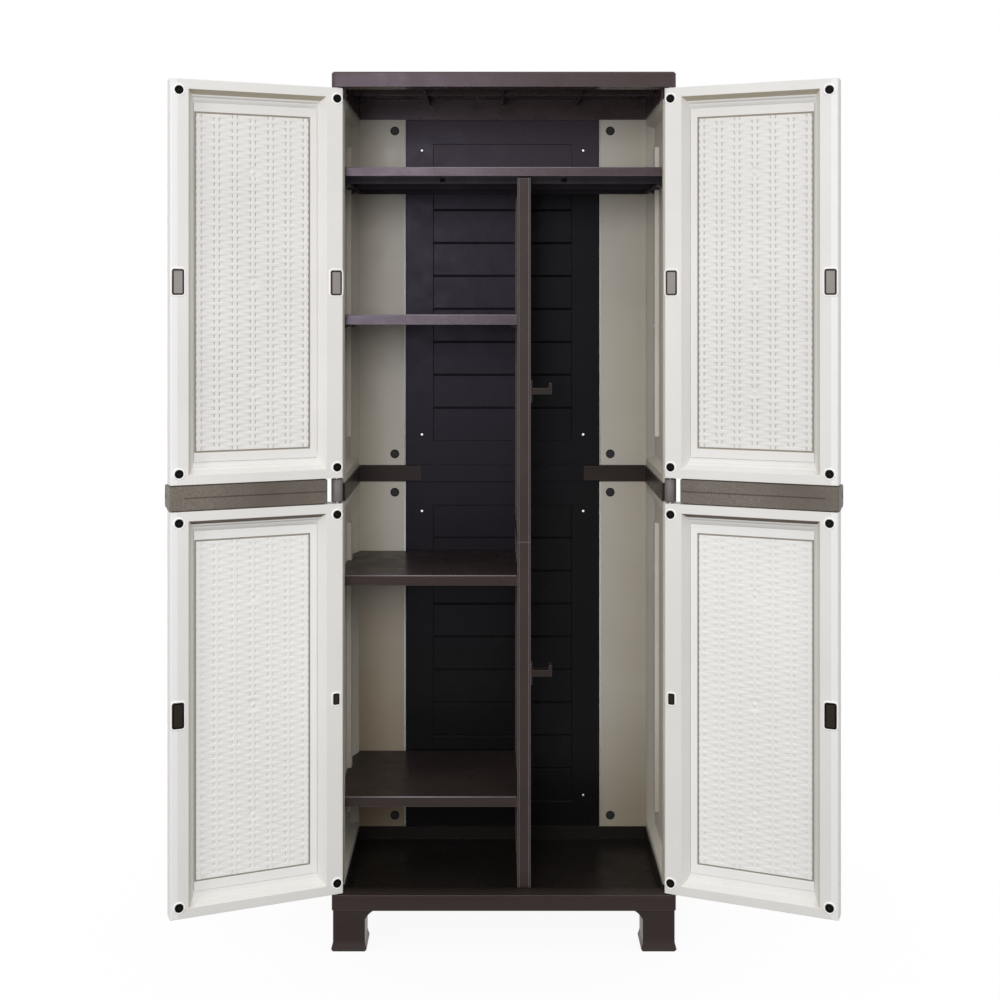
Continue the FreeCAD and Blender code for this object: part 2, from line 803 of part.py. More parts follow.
def hook_studs(level, gap, extra):
    """Two square studs through the divider's front border that hold a hook."""
    y = shelf_front + hook_setback
    half = hook_stud_width / 2 + gap
    return [block(divider_left - extra, divider_right + extra, y - half, y + half, z - half, z + half)
            for z in (level - hook_stud_spacing / 2, level + hook_stud_spacing / 2)]


def make_hook(level):
    """Broom hook: a plate against the divider, an arm and an upturned tip."""
    y0 = shelf_front + hook_setback - hook_stud_inset
    y1 = y0 + hook_width
    plate = block(divider_right, divider_right + hook_plate, y0, y1, level - hook_plate_height / 2,
                  level + hook_plate_height / 2)
    outer_edges = [edge for edge in plate.Edges if abs(edge.Length - hook_width) < 0.01
                   and edge.CenterOfMass.x > divider_right + hook_plate / 2]
    plate = plate.makeFillet(hook_plate * 0.6, outer_edges)
    tip_out = divider_right + hook_reach
    arm_low = level - hook_arm / 2
    arm_high = level + hook_arm / 2
    tip_top = arm_high + hook_tip_rise
    x_in = tip_out - hook_tip
    bend = hook_bend
    arc_out = Part.Arc(V(tip_out - bend, y0, arm_low), V(tip_out - bend * 0.3, y0, arm_low + bend * 0.3),
                       V(tip_out, y0, arm_low + bend)).toShape()
    lip = Part.Arc(V(tip_out, y0, tip_top - hook_tip / 2), V(tip_out - hook_tip / 2, y0, tip_top),
                   V(x_in, y0, tip_top - hook_tip / 2)).toShape()
    arc_in = Part.Arc(V(x_in, y0, arm_high + bend), V(x_in - bend * 0.3, y0, arm_high + bend * 0.3),
                      V(x_in - bend, y0, arm_high)).toShape()
    root = divider_right + hook_plate / 2
    edges = [Part.makeLine(V(root, y0, arm_low), V(tip_out - bend, y0, arm_low)), arc_out,
             Part.makeLine(V(tip_out, y0, arm_low + bend), V(tip_out, y0, tip_top - hook_tip / 2)), lip,
             Part.makeLine(V(x_in, y0, tip_top - hook_tip / 2), V(x_in, y0, arm_high + bend)), arc_in,
             Part.makeLine(V(x_in - bend, y0, arm_high), V(root, y0, arm_high)),
             Part.makeLine(V(root, y0, arm_high), V(root, y0, arm_low))]
    arm = Part.Face(Part.Wire(edges)).extrude(V(0, hook_width, 0))
    return fuse_all([plate, arm] + hook_studs(level, 0.0, 0.0))


# Doors, drawn shut with the hinge axis at x = 0, y = 0

def door_panel(low, high):
    """One moulded half door: a frame with a moulded recess inside and a shallow one outside."""
    body = block(door_hinge_edge, door_free_edge, door_front, door_inner, low, high)
    places = [(x, y) for x in (door_hinge_edge, door_free_edge) for y in (door_front, door_inner)]
    body = body.makeFillet(door_edge_radius, upright_edges(body, places))
    x0 = door_hinge_edge + door_border_side
    x1 = door_free_edge - door_border_side
    z0 = low + door_border_end
    z1 = high - door_border_end
    recess = moulded_recess(x0, x1, z0, z1)
    ox0 = door_hinge_edge + door_outer_border
    ox1 = door_free_edge - door_outer_border
    oz0 = low + door_outer_border
    oz1 = high - door_outer_border
    slope = door_outer_slope
    outer = taper("y", [(door_front - 0.01, ox0, ox1, oz0, oz1),
                        (door_front + door_outer_depth, ox0 + slope, ox1 - slope, oz0 + slope, oz1 - slope)])
    return body.cut([recess, outer])


def moulded_recess(x0, x1, z0, z1):
    """The inner recess: plain sloping sides, ends with two fine steps, and a flat floor."""
    # Shares of the end slope and of the depth at each step down to the floor.
    steps = ((0.0, 0.0), (0.36, 0.60), (0.48, 0.64), (0.60, 0.80), (0.72, 0.84), (1.0, 1.0))
    sections = []
    for inset, sink in steps:
        move = sink * door_recess_slope
        move_end = inset * door_recess_end_slope
        sections.append((door_inner + 0.01 - sink * door_recess_depth, x0 + move, x1 - move,
                         z0 + move_end, z1 - move_end))
    return taper("y", sections)


def door_plug_places(low, high):
    """Where the round plugs sit in the four corners of a half door."""
    xs = (door_hinge_edge + door_plug_hinge_side, door_free_edge - door_plug_free_side)
    zs = (low + door_plug_end, high - door_plug_end)
    return [V(x, door_inner, z) for x in xs for z in zs]


def rounded_plate(x, z, plate_width, plate_height, y0, y1, radius):
    """A plate square to Y with rounded corners."""
    plate = block(x - plate_width / 2, x + plate_width / 2, y0, y1,
                  z - plate_height / 2, z + plate_height / 2)
    corners = [edge for edge in plate.Edges if abs(edge.Length - abs(y1 - y0)) < 0.001
               and abs(edge.CenterOfMass.y - (y0 + y1) / 2) < 0.001]
    return plate.makeFillet(radius, corners)


def clip_layout(low, high):
    """Place, size and corner radius of each clip of a half door: hinge side, then free side."""
    middle = (low + high) / 2
    hinge_x = door_hinge_edge + clip_side
    free_x = door_free_edge - clip_side
    tall = (clip_width, clip_height, clip_corner)
    small = (small_clip_width, small_clip_height, small_clip_corner)
    return ((hinge_x, middle) + (tall if low > strip_centre else small), (free_x, middle) + tall)


def make_clips(low, high):
    """The push-in clips at mid height of a half door."""
    clips = []
    for x, z, clip_w, clip_h, corner in clip_layout(low, high):
        face = rounded_plate(x, z, clip_w, clip_h, door_inner, door_inner + plug_head, corner)
        clips.append(face.fuse(clip_core(x, z, clip_w, clip_h, 0.0, clip_depth)))
    return Part.makeCompound(clips)


def clip_core(x, z, clip_w, clip_h, trim, sink):
    """The block under a clip's face that goes into the door, or with a trim its seat."""
    half_w = clip_w / 2 - clip_border - trim
    half_h = clip_h / 2 - clip_border - trim
    return block(x - half_w, x + half_w, door_inner - sink, door_inner, z - half_h, z + half_h)


def make_door_half(low, high):
    """A half door with the seats for its plugs, clips and pins."""
    body = door_panel(low, high)
    tools = [square_bar(place, -1, plug_stem + fit_gap, plug_length + fit_gap)
             for place in door_plug_places(low, high)]
    for x, z, clip_w, clip_h, corner in clip_layout(low, high):
        tools.append(clip_core(x, z, clip_w, clip_h, -fit_gap / 2, clip_depth + fit_gap))
    seat = pin_radius + fit_gap / 4
    tools.append(upright_cylinder(seat, 0, 0, low - 1, low + pin_in_door))
    tools.append(upright_cylinder(seat, 0, 0, high - pin_in_door, high + 1))
    return cut_all(body, tools)


def make_door_plugs():
    """The eight round plugs of one door."""
    plugs = []
    for low, high in door_halves():
        plugs += [plug_at(place, -1) for place in door_plug_places(low, high)]
    return Part.makeCompound(plugs)


def door_halves():
    """Lower and upper levels of the two half doors."""
    return ((door_low, strip_low - door_strip_gap), (strip_high + door_strip_gap, door_high))


def make_door_strip():
    """The middle strip between the half doors, with tenons, a grip and a padlock eye."""
    start = strip_knuckle_room
    front = door_front - strip_proud
    rear = door_inner + strip_proud
    body = block(start, strip_end, front, rear, strip_low, strip_high)
    body = body.makeFillet(door_edge_radius, upright_edges(body, [(strip_end, front), (strip_end, rear)]))
    groove = block(start - 1, strip_end - handle_length, rear - strip_groove_depth, rear + 1,
                   strip_centre - strip_groove_width / 2, strip_centre + strip_groove_width / 2)
    # Tenons carry the half doors above and below the strip.
    tenons = []
    for low, high in ((strip_low - door_strip_gap, strip_low), (strip_high, strip_high + door_strip_gap)):
        tenons.append(block(start + strip_tenon_inset, door_free_edge - strip_tenon_inset,
                            door_front + strip_tenon_inset, door_inner - strip_tenon_inset, low, high))
    body = fuse_all([body, grip_lug()] + tenons)
    eye = Part.makeCylinder(padlock_hole_radius, handle_wall * 3,
                            V(strip_end - handle_wall * 2, padlock_level, strip_centre), V(1, 0, 0))
    return cut_all(body, [groove, eye])


def grip_lug():
    """The lug that stands out of the strip's outer face at its free end."""
    front = door_front - handle_proud
    root = door_front
    x0 = strip_end - handle_wall
    low = strip_low + handle_trim
    high = strip_high - handle_trim
    bend = handle_corner
    # The middle of a quarter circle lies this far in from the corner it rounds.
    nick = bend * (1 - math.sqrt(0.5))
    lower = Part.Arc(V(x0, front + bend, low), V(x0, front + nick, low + nick),
                     V(x0, front, low + bend)).toShape()
    upper = Part.Arc(V(x0, front, high - bend), V(x0, front + nick, high - nick),
                     V(x0, front + bend, high)).toShape()
    edges = [Part.makeLine(V(x0, root, low), V(x0, front + bend, low)), lower,
             Part.makeLine(V(x0, front, low + bend), V(x0, front, high - bend)), upper,
             Part.makeLine(V(x0, front + bend, high), V(x0, root, high)),
             Part.makeLine(V(x0, root, high), V(x0, root, low))]
    return Part.Face(Part.Wire(edges)).extrude(V(handle_wall - handle_end_step, 0, 0))


def make_door_pins():
    """Bottom, middle and top hinge pins of one door."""
    lower, upper = door_halves()
    spans = ((sill_level - pin_in_frame, lower[0] + pin_in_door - fit_gap),
             (lower[1] - pin_in_door + fit_gap, upper[0] + pin_in_door - fit_gap),
             (upper[1] - pin_in_door + fit_gap, head_level + pin_in_frame))
    return Part.makeCompound([upright_cylinder(pin_radius, 0, 0, z0, z1) for z0, z1 in spans])


def hang_left(shape):
    """Put a piece of the shut door at the left hinge and swing it open."""
    placed = shape.copy()
    placed.rotate(V(0, 0, 0), V(0, 0, 1), -door_open_angle)
    placed.translate(V(-pivot_x, pivot_y, 0))
    return placed


def make_pieces():
    """Every piece of the cabinet by name."""
    pieces = {}
    pieces["base_tray"] = make_base()
    pieces["lid"] = make_lid()
    for side, end in foot_places():
        pieces["foot_" + end + ("_left" if side < 0 else "_right")] = make_foot(side, end)
    lower_low = lower_panel_level - seat_depth
    upper_low = upper_panel_level - seat_depth
    lower_side = make_side_panel(lower_low)
    upper_side = make_side_panel(upper_low)
    pieces["side_panel_lower_left"] = lower_side
    pieces["side_panel_lower_right"] = mirror_x(lower_side)
    pieces["side_panel_upper_left"] = upper_side
    pieces["side_panel_upper_right"] = mirror_x(upper_side)
    pieces["back_panel_lower"] = make_back_panel(lower_low)
    pieces["back_panel_upper"] = make_back_panel(upper_low)
    belt_left = make_belt_side()
    pieces["belt_left"] = belt_left
    pieces["belt_right"] = mirror_x(belt_left)
    pieces["belt_rear"] = make_belt_rear()
    names = ("shelf_top", "shelf_upper", "shelf_middle", "shelf_lower")
    for name, (level, full_width, body_depth) in zip(names, shelf_plan()):
        pieces[name] = make_shelf(level, full_width, body_depth)
    pieces["shelf_pegs"] = make_shelf_pegs()
    pieces["divider_lower"] = make_divider(floor_level, divider_seam_level, True)
    pieces["divider_upper"] = make_divider(divider_seam_level, top_shelf_level - top_shelf_body, False)
    pieces["broom_hook_upper"] = make_hook(hook_levels[0])
    pieces["broom_hook_lower"] = make_hook(hook_levels[1])
    pieces["wall_panel_plugs"] = make_panel_plugs()
    lower_half, upper_half = door_halves()
    door = {
        "door_panel_lower": make_door_half(*lower_half),
        "door_panel_upper": make_door_half(*upper_half),
        "door_strip": make_door_strip(),
        "door_clips_lower": make_clips(*lower_half),
        "door_clips_upper": make_clips(*upper_half),
        "door_plugs": make_door_plugs(),
        "door_hinge_pins": make_door_pins(),
    }
    for name, shape in door.items():
        left = hang_left(shape)
        pieces["left_" + name] = left
        pieces["right_" + name] = mirror_x(left)
    return pieces


def centre_on_footprint(pieces):
    """Move the whole cabinet so that its box is centred over the origin, standing on z = 0."""
    low = min(shape.BoundBox.YMin for shape in pieces.values())
    high = max(shape.BoundBox.YMax for shape in pieces.values())
    for shape in pieces.values():
        shape.translate(V(0, -(low + high) / 2.0, 0))
    return -(low + high) / 2.0


pieces = make_pieces()
front_face_y = centre_on_footprint(pieces)
os.makedirs("parts", exist_ok=True)
for name, shape in pieces.items():
    shape.exportStep("parts/" + name + ".step")
print("front face of the lid at y =", round(front_face_y, 3))
print("hinge axes at x = +-", pivot_x, " y =", round(front_face_y + pivot_y, 3))
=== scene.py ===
import json
import math

import bpy
import numpy as np
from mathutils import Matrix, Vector


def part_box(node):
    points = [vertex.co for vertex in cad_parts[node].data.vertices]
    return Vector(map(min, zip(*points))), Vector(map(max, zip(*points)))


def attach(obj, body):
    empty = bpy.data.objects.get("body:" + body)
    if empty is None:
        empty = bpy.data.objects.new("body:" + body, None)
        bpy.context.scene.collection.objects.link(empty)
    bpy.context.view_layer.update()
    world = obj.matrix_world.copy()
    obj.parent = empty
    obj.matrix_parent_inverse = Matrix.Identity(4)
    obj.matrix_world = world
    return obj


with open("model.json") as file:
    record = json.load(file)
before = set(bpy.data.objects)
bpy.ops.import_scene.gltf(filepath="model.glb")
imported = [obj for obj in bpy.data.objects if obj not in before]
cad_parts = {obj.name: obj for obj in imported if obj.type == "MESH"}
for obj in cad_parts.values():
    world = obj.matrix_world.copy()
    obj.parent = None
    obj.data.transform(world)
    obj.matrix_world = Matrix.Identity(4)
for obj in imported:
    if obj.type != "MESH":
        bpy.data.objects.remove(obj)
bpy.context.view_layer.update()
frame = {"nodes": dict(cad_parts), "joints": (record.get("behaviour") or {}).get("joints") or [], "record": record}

sides = ((-1, "left"), (1, "right"))
levels = ("lower", "upper")

# Places read from the frame
lid_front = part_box("lid")[0].y
left_hinge = next(joint for joint in frame["joints"] if joint["name"] == "left_door_hinge")
pivot_x = abs(left_hinge["pos_m"][0])
pivot_y, pivot_z = left_hinge["pos_m"][1:]
door_open = math.radians(left_hinge["range_deg"][1])
cos_open = math.cos(door_open)
sin_open = math.sin(door_open)

# Sizes that repeat the CAD model's. A shut door's own frame has s from the hinge to the free edge
# and n into the cabinet.
door_hinge_edge = -0.0089
door_free_edge = 0.3243
door_middle = (door_hinge_edge + door_free_edge) / 2
door_inner = 0.014
door_front = -0.020
inner_floor = door_inner - 0.022
outer_floor = door_front + 0.004
recess_edge = door_free_edge - 0.034
wall_thickness = 0.017
back_half_thickness = 0.005
panel_seat = 0.010

# The sunk field on the outside of a side wall panel
side_field_border = 0.030
side_field_depth = 0.0015
side_field_play = 0.001
side_field_relief = 0.9

# Woven relief: level strands that pass before and behind upright stakes
stake_pitch = 0.0345
stake_half = 0.0040
stake_level = 0.0016
stake_crown = 0.0006
strand_pitch = 0.00685
strand_level = 0.0019
strand_sway = 0.00045
strand_crown = 0.0003
pocket_width = 0.0016
pocket_height_share = 0.99
pocket_level = 0.0006
groove_level = 0.00025
border_rise = 0.0020
sheet_lift = 0.0002

# Where a woven sheet has its points: across from each stake, and up as shares of a strand
stake_columns = np.array([0.0, 1.6, 3.0, 3.9, 4.1, 5.5, 5.7, 8.0, 12.0]) / 1000
strand_rows = np.array([0.0, 0.06, 0.30, 0.70, 0.94])
edge_column_gap = 0.0006
border_steps = (0.0002, 0.0003, 0.0007)

# The woven fields on the inside and the outside of a half door
inner_field_half_width = 0.1085
inner_field_shift = 0.0062
inner_field_end = 0.060
inner_field_margins = (0.0167, 0.0043)
inner_field_margin_end = 0.0205
inner_field_groove = 0.0034
inner_relief = {"lower": 0.62, "upper": 1.0}
outer_field_half_width = 0.118
outer_field_end = 0.047
outer_field_margins = (0.0030, 0.0030)
outer_field_margin_end = 0.0015
outer_field_groove = 0.0005

# Smooth round bosses in the inner field, at shares of its height
boss_shares = (0.17, 0.5, 0.83)
boss_radius = 0.009
boss_blend = 0.003
boss_base = 0.0009
boss_bump = 0.0016
boss_bump_radius = 0.0038

# Plugs, clips and wall holes. A clip has half its width, half its height and its corner radius.
plug_radius = 0.008
plug_head = 0.0012
plug_hinge_side = 0.0125
plug_free_side = 0.0165
plug_end = 0.021
plug_centre_radius = 0.002
clip_side = 0.0145
clip_band_share = 0.78
tall_clip = (0.011, 0.024, 0.004)
small_clip = (0.006, 0.0105, 0.0025)
wall_plug_x = 0.236
wall_plug_end = 0.024
wall_hole_x = 0.177
wall_hole_end = 0.066
wall_hole_radius = 0.00275

# Sections of thin bands: how far out of the outline, and how high
pale_rim = ((0.0001, 0.0), (0.0004, 0.0009), (0.0017, 0.0013), (0.0030, 0.0009), (0.0035, 0.0))
flat_rim = ((0.0, 0.0), (0.0002, 0.0005), (0.0014, 0.0005), (0.0017, 0.0))
plug_dome = ((-0.00195, 0.0005), (-0.0012, 0.00045), (-0.0004, 0.0003), (0.0, -0.0001))
corner_steps = 9

# Beads, and the face of the belt's hinge knuckle
bead_radius = 0.0015
shelf_bead_radius = 0.0012
shelf_bead_inset = shelf_bead_radius * 0.7
shelf_bead_end = 0.002
bead_steps = 9
knuckle_radius = 0.011
knuckle_height = 0.044
sleeve_bore = 0.0055
sleeve_chamfer = 0.001
sleeve_lift = 0.0003
sleeve_end_lift = 0.0002
sleeve_steps = 25


def srgb(red, green, blue):
    """A colour written as 0-255 screen values, as the linear colour that a shader takes."""
    def linear(value):
        value = value / 255
        return value / 12.92 if value <= 0.04045 else ((value + 0.055) / 1.055) ** 2.4
    return (linear(red), linear(green), linear(blue), 1.0)


def shifted(base, span):
    """A start and a stop, measured from a base."""
    return base + span[0], base + span[1]


# Materials

class Nodes:
    """Short calls for building one material's node tree."""

    def __init__(self, name):
        self.material = bpy.data.materials.new(name)
        self.material.use_nodes = True
        self.tree = self.material.node_tree
        self.shader = self.tree.nodes["Principled BSDF"]
        self.place = self.add("ShaderNodeTexCoord").outputs["Object"]

    def add(self, kind, **settings):
        node = self.tree.nodes.new(kind)
        for key, value in settings.items():
            setattr(node, key, value)
        return node

    def join(self, source, target):
        self.tree.links.new(source, target)

    def feed(self, value, socket):
        """Link a socket to another one, or set it to a plain value."""
        if isinstance(value, bpy.types.NodeSocket):
            self.join(value, socket)
        else:
            socket.default_value = value

    def noise(self, scale, detail=3.0, roughness=0.5, stretch=None):
        node = self.add("ShaderNodeTexNoise")
        node.inputs["Scale"].default_value = scale
        node.inputs["Detail"].default_value = detail
        node.inputs["Roughness"].default_value = roughness
        place = self.place
        if stretch:
            mapping = self.add("ShaderNodeMapping")
            mapping.inputs["Scale"].default_value = stretch
            self.join(place, mapping.inputs["Vector"])
            place = mapping.outputs["Vector"]
        self.join(place, node.inputs["Vector"])
        return node.outputs["Fac"]

    def spread(self, value, low, high, span=(0.3, 0.7)):
        """A number that goes from low to high while the value goes over a span."""
        node = self.add("ShaderNodeMapRange")
        node.inputs["From Min"].default_value = span[0]
        node.inputs["From Max"].default_value = span[1]
        node.inputs["To Min"].default_value = low
        node.inputs["To Max"].default_value = high
        self.join(value, node.inputs["Value"])
        return node.outputs["Result"]

    def rise(self, value, span):
        """A factor from 0 before a span to 1 after it."""
        return self.spread(value, 0.0, 1.0, span)

    def fall(self, value, span, most=1.0):
        """A factor from its most before a span to 0 after it."""
        return self.spread(value, most, 0.0, span)

    def mix(self, factor, first, second, blend="MIX"):
        node = self.add("ShaderNodeMix", data_type="RGBA", blend_type=blend)
        self.feed(factor, node.inputs["Factor"])
        self.feed(first, node.inputs["A"])
        self.feed(second, node.inputs["B"])
        return node.outputs["Result"]

    def multiply(self, factor, first, second):
        """A colour darkened by another where a factor is 1."""
        return self.mix(factor, first, second, "MULTIPLY")

    def combined(self, operation, first, *others):
        """Several numbers joined by one operation."""
        for other in others:
            node = self.add("ShaderNodeMath", operation=operation)
            self.join(first, node.inputs[0])
            self.join(other, node.inputs[1])
            first = node.outputs[0]
        return first

    def product(self, *numbers):
        return self.combined("MULTIPLY", *numbers)

    def largest(self, *numbers):
        return self.combined("MAXIMUM", *numbers)

    def sum_of(self, terms, constant):
        """A constant plus numbers, each times its own factor."""
        total = constant
        for value, factor in terms:
            node = self.add("ShaderNodeMath", operation="MULTIPLY_ADD")
            self.join(value, node.inputs[0])
            node.inputs[1].default_value = factor
            self.feed(total, node.inputs[2])
            total = node.outputs[0]
        return total

    def size_of(self, value):
        """A number without its sign."""
        node = self.add("ShaderNodeMath", operation="ABSOLUTE")
        self.join(value, node.inputs[0])
        return node.outputs[0]

    def parts(self, vector):
        """The X, Y and Z of a vector."""
        node = self.add("ShaderNodeSeparateXYZ")
        self.join(vector, node.inputs["Vector"])
        return node.outputs["X"], node.outputs["Y"], node.outputs["Z"]

    def facing(self):
        """The X, Y and Z of the direction that a flat face looks in."""
        return self.parts(self.add("ShaderNodeNewGeometry").outputs["True Normal"])

    def rounded(self, radius):
        """A normal that rounds the sharp edges."""
        node = self.add("ShaderNodeBevel", samples=6)
        node.inputs["Radius"].default_value = radius
        return node.outputs["Normal"]

    def edge_mask(self, radius, most):
        """A factor that rises from 0 on flat faces to a most at their edges."""
        plain = self.add("ShaderNodeNewGeometry")
        turn = self.add("ShaderNodeVectorMath", operation="DOT_PRODUCT")
        self.join(self.rounded(radius), turn.inputs[0])
        self.join(plain.outputs["Normal"], turn.inputs[1])
        return self.fall(turn.outputs["Value"], edge_turn, most)

    def bump(self, height, distance, strength, below):
        """A normal that raises the one below it by a height."""
        node = self.add("ShaderNodeBump")
        node.inputs["Distance"].default_value = distance
        node.inputs["Strength"].default_value = strength
        self.join(height, node.inputs["Height"])
        self.join(below, node.inputs["Normal"])
        return node.outputs["Normal"]


# Moulded plastic: scales of its noises per metre, depths in metres
cloud_scale = 5.0
speck_scale = 900.0
speck_share = 0.16
patch_scale = 26.0
gloss_range = (-0.05, 0.07)
dulling = 0.4
wave_scale = 22.0
wave_depth = 0.0006
wave_strength = 0.5
grain_scale = 1300.0
grain_strength = 0.8
fine_grain = 0.00004
plain_grain = 0.00006
belt_grain = 0.0001
strip_grain = 0.00014
edge_rounding = 0.0014
edge_wear_and_highlight_width = 0.0022
edge_wear_and_highlight_share = 0.55
edge_turn = (0.86, 0.995)
# How the clouds stretch along the wide brown pieces, and a gloss that reflects cooler
cloud_stretch = (0.25, 1.0, 5.0)
cool_gloss = (0.90, 0.80, 1.0, 1.0)
back_gloss = (0.88, 0.82, 1.0, 1.0)


def moulded_plastic(name, pale, dark, rough, grain, specular, streak=None, edge_wear_and_highlight=None, tint=None,
                    shade=None, dull=None, speck=(speck_scale, speck_share)):
    """Moulded plastic: cloudy colour, a leather-like grain, uneven gloss, and edges in another colour that is
    partly wear and partly painted highlight.

    Colours are screen values. shade changes the colour by place, mostly as painted shade, sheen and highlight, and
    dull takes gloss away.
    """
    n = Nodes(name)
    pale, dark = srgb(*pale), srgb(*dark)
    colour = n.mix(n.spread(n.noise(cloud_scale, 4.0, stretch=streak), 0.0, 1.0), dark, pale)
    colour = n.mix(n.spread(n.noise(speck[0], 2.0), 0.0, speck[1]), colour, dark)
    if edge_wear_and_highlight:
        colour = n.mix(n.edge_mask(edge_wear_and_highlight_width, edge_wear_and_highlight_share), colour, srgb(*edge_wear_and_highlight))
    if shade:
        colour = shade(n, colour)
    n.join(colour, n.shader.inputs["Base Color"])
    roughness = n.spread(n.noise(patch_scale), *shifted(rough, gloss_range))
    if dull:
        roughness = n.sum_of(((dull(n), dulling),), roughness)
    n.join(roughness, n.shader.inputs["Roughness"])
    normal = n.bump(n.noise(wave_scale, 2.0), wave_depth, wave_strength, n.rounded(edge_rounding))
    normal = n.bump(n.noise(grain_scale, 2.0, 0.6), grain, grain_strength, normal)
    n.join(normal, n.shader.inputs["Normal"])
    n.shader.inputs["Specular IOR Level"].default_value = specular
    if tint:
        n.shader.inputs["Specular Tint"].default_value = tint
    return n.material


def brushed_pin(name):
    """Plain steel wire with fine turning marks."""
    n = Nodes(name)
    marks = n.noise(60.0, 3.0, stretch=(1.0, 1.0, 40.0))
    colour = n.mix(n.spread(marks, 0.0, 1.0), srgb(150, 150, 152), srgb(190, 190, 192))
    n.join(colour, n.shader.inputs["Base Color"])
    n.join(n.spread(marks, 0.28, 0.42), n.shader.inputs["Roughness"])
    n.shader.inputs["Metallic"].default_value = 1.0
    return n.material


# Where colours change by place. Each pair is the start and the stop of a change: in metres, or as
# a part of the direction that a face looks in.
# Most of the colours changed by place below are painted shade, sheen and highlight.
looks_front = (-0.9, -0.5)
looks_down = (-0.85, -0.35)

# On a half door: within its inner face and its ends, on the recess's slopes, and at the free edge
under_inner_face = shifted(door_inner, (-0.0008, -0.0002))
past_low_end = (0.008, 0.012)
past_high_end = (-0.012, -0.008)
slope_depths = (-0.002, 0.003)
side_slope = shifted(recess_edge, (-0.0125, -0.0010))
side_slope_depths = (inner_floor + 0.002, 0.006)
free_edge_strip = shifted(door_free_edge, (-0.0140, -0.0130))
pocket_depths = shifted(inner_floor, (0.0003, 0.0009))
pocket_shade_share = 0.95

# On a side wall: in the corner between wall and return, at the foot, low down on the left return,
# on the outer face, and near the rear face
corner_across = (0.230, 0.300)
return_end = (0.3160, 0.3170)
foot_up = (0.15, 0.42)
left_return_across = (-0.200, -0.150)
left_return_up = (0.42, 0.80)
outer_face_across = (0.3290, 0.3295)
rear_face = (-0.0010, -0.0005)

# On the back: left of the divider, up behind the shelves, and above the top shelf
left_bay_across = (0.030, 0.058)
left_bay_up = (0.50, 1.15)
above_top_shelf = (1.51, 1.56)

# Behind and below the top shelf's lip, and behind the base tray's sill
behind_lip = (0.004, 0.010)
below_lip = (-0.020, -0.012)
behind_sill = (0.012, 0.035)

# Tints of painted shade, which darken a colour
side_slope_shade = (0.80, 0.76, 0.68, 1.0)
corner_shade_tint = (0.86, 0.84, 0.80, 1.0)
foot_shade_tint = (0.66, 0.62, 0.55, 1.0)
left_return_shade_tint = (0.70, 0.64, 0.56, 1.0)


def door_place(n):
    """How far from the hinge, and how deep in the cabinet, a point would be on the shut door."""
    x, y, _ = n.parts(n.place)
    across = n.size_of(x)
    s = n.sum_of(((across, -cos_open), (y, -sin_open)), pivot_x * cos_open + pivot_y * sin_open)
    depth = n.sum_of(((across, -sin_open), (y, cos_open)),
                     pivot_x * sin_open - pivot_y * cos_open)
    return s, depth


def facing_front(n):
    """A factor of 1 on faces that look to the front."""
    return n.fall(n.facing()[1], looks_front)


def door_painted_shade(level_name, down_slope_shade):
    """Painted shade on the recess's slopes that look down or to the hinge, and a painted highlight on the free
    edge.
    """
    def shade(n, colour):
        low, high = (corner.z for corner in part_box("left_door_panel_" + level_name))
        s, depth = door_place(n)
        z = n.parts(n.place)[2]
        inside = n.product(n.fall(depth, under_inner_face), n.rise(z, shifted(low, past_low_end)),
                           n.fall(z, shifted(high, past_high_end)))
        under = n.product(n.fall(n.facing()[2], looks_down), inside, n.rise(depth, slope_depths))
        beside = n.product(n.rise(s, side_slope), inside, n.rise(depth, side_slope_depths))
        colour = n.mix(under, colour, srgb(*down_slope_shade))
        colour = n.multiply(beside, colour, side_slope_shade)
        # Painted highlight: a paler strip along the free edge.
        return n.mix(n.rise(s, free_edge_strip), colour, srgb(242, 241, 238))
    return shade


def weave_painted_shade(n, colour):
    """Painted shade at the bottom of the weave's pockets and grooves."""
    depth = door_place(n)[1]
    pocket_shade = n.fall(depth, pocket_depths, pocket_shade_share)
    return n.mix(pocket_shade, colour, srgb(146, 138, 124))


def wall_painted_shade(n, colour):
    """Painted shade in a side wall's inner corner, low down, and low on the left return; its outer faces are as
    pale as the doors.
    """
    x, y, z = n.parts(n.place)
    across = n.size_of(x)
    on_return = n.product(n.fall(across, return_end), facing_front(n))
    corner = n.product(n.rise(across, corner_across), on_return)
    foot = n.product(n.fall(z, foot_up), facing_front(n))
    left_return = n.product(n.fall(x, left_return_across), n.fall(z, left_return_up), on_return)
    colour = n.multiply(corner, colour, corner_shade_tint)
    colour = n.multiply(foot, colour, foot_shade_tint)
    colour = n.multiply(left_return, colour, left_return_shade_tint)
    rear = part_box("side_panel_upper_left")[1].y
    outside = n.largest(n.rise(across, outer_face_across), n.rise(y, shifted(rear, rear_face)))
    return n.mix(outside, colour, srgb(230, 228, 222))


def back_painted_sheen(n, colour):
    """Painted sheen: the back is lighter left of the divider up behind the shelves, and above the top shelf;
    elsewhere it keeps its own dark colour.
    """
    x, _, z = n.parts(n.place)
    front_side = facing_front(n)
    left_bay = n.product(n.fall(x, left_bay_across), n.rise(z, left_bay_up), front_side)
    colour = n.mix(left_bay, colour, srgb(50, 45, 55))
    return n.mix(n.product(n.rise(z, above_top_shelf), front_side), colour, srgb(70, 63, 70))


def under_lip(n):
    """A factor of 1 behind and below the lip of the top shelf."""
    _, y, z = n.parts(n.place)
    lip_low, lip_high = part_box("shelf_top")
    return n.product(n.rise(y, shifted(lip_low.y, behind_lip)),
                     n.fall(z, shifted(lip_high.z, below_lip)))


def under_lip_painted_shade(n, colour):
    """Painted shade behind the lip of the top shelf."""
    return n.mix(under_lip(n), colour, srgb(24, 21, 20))


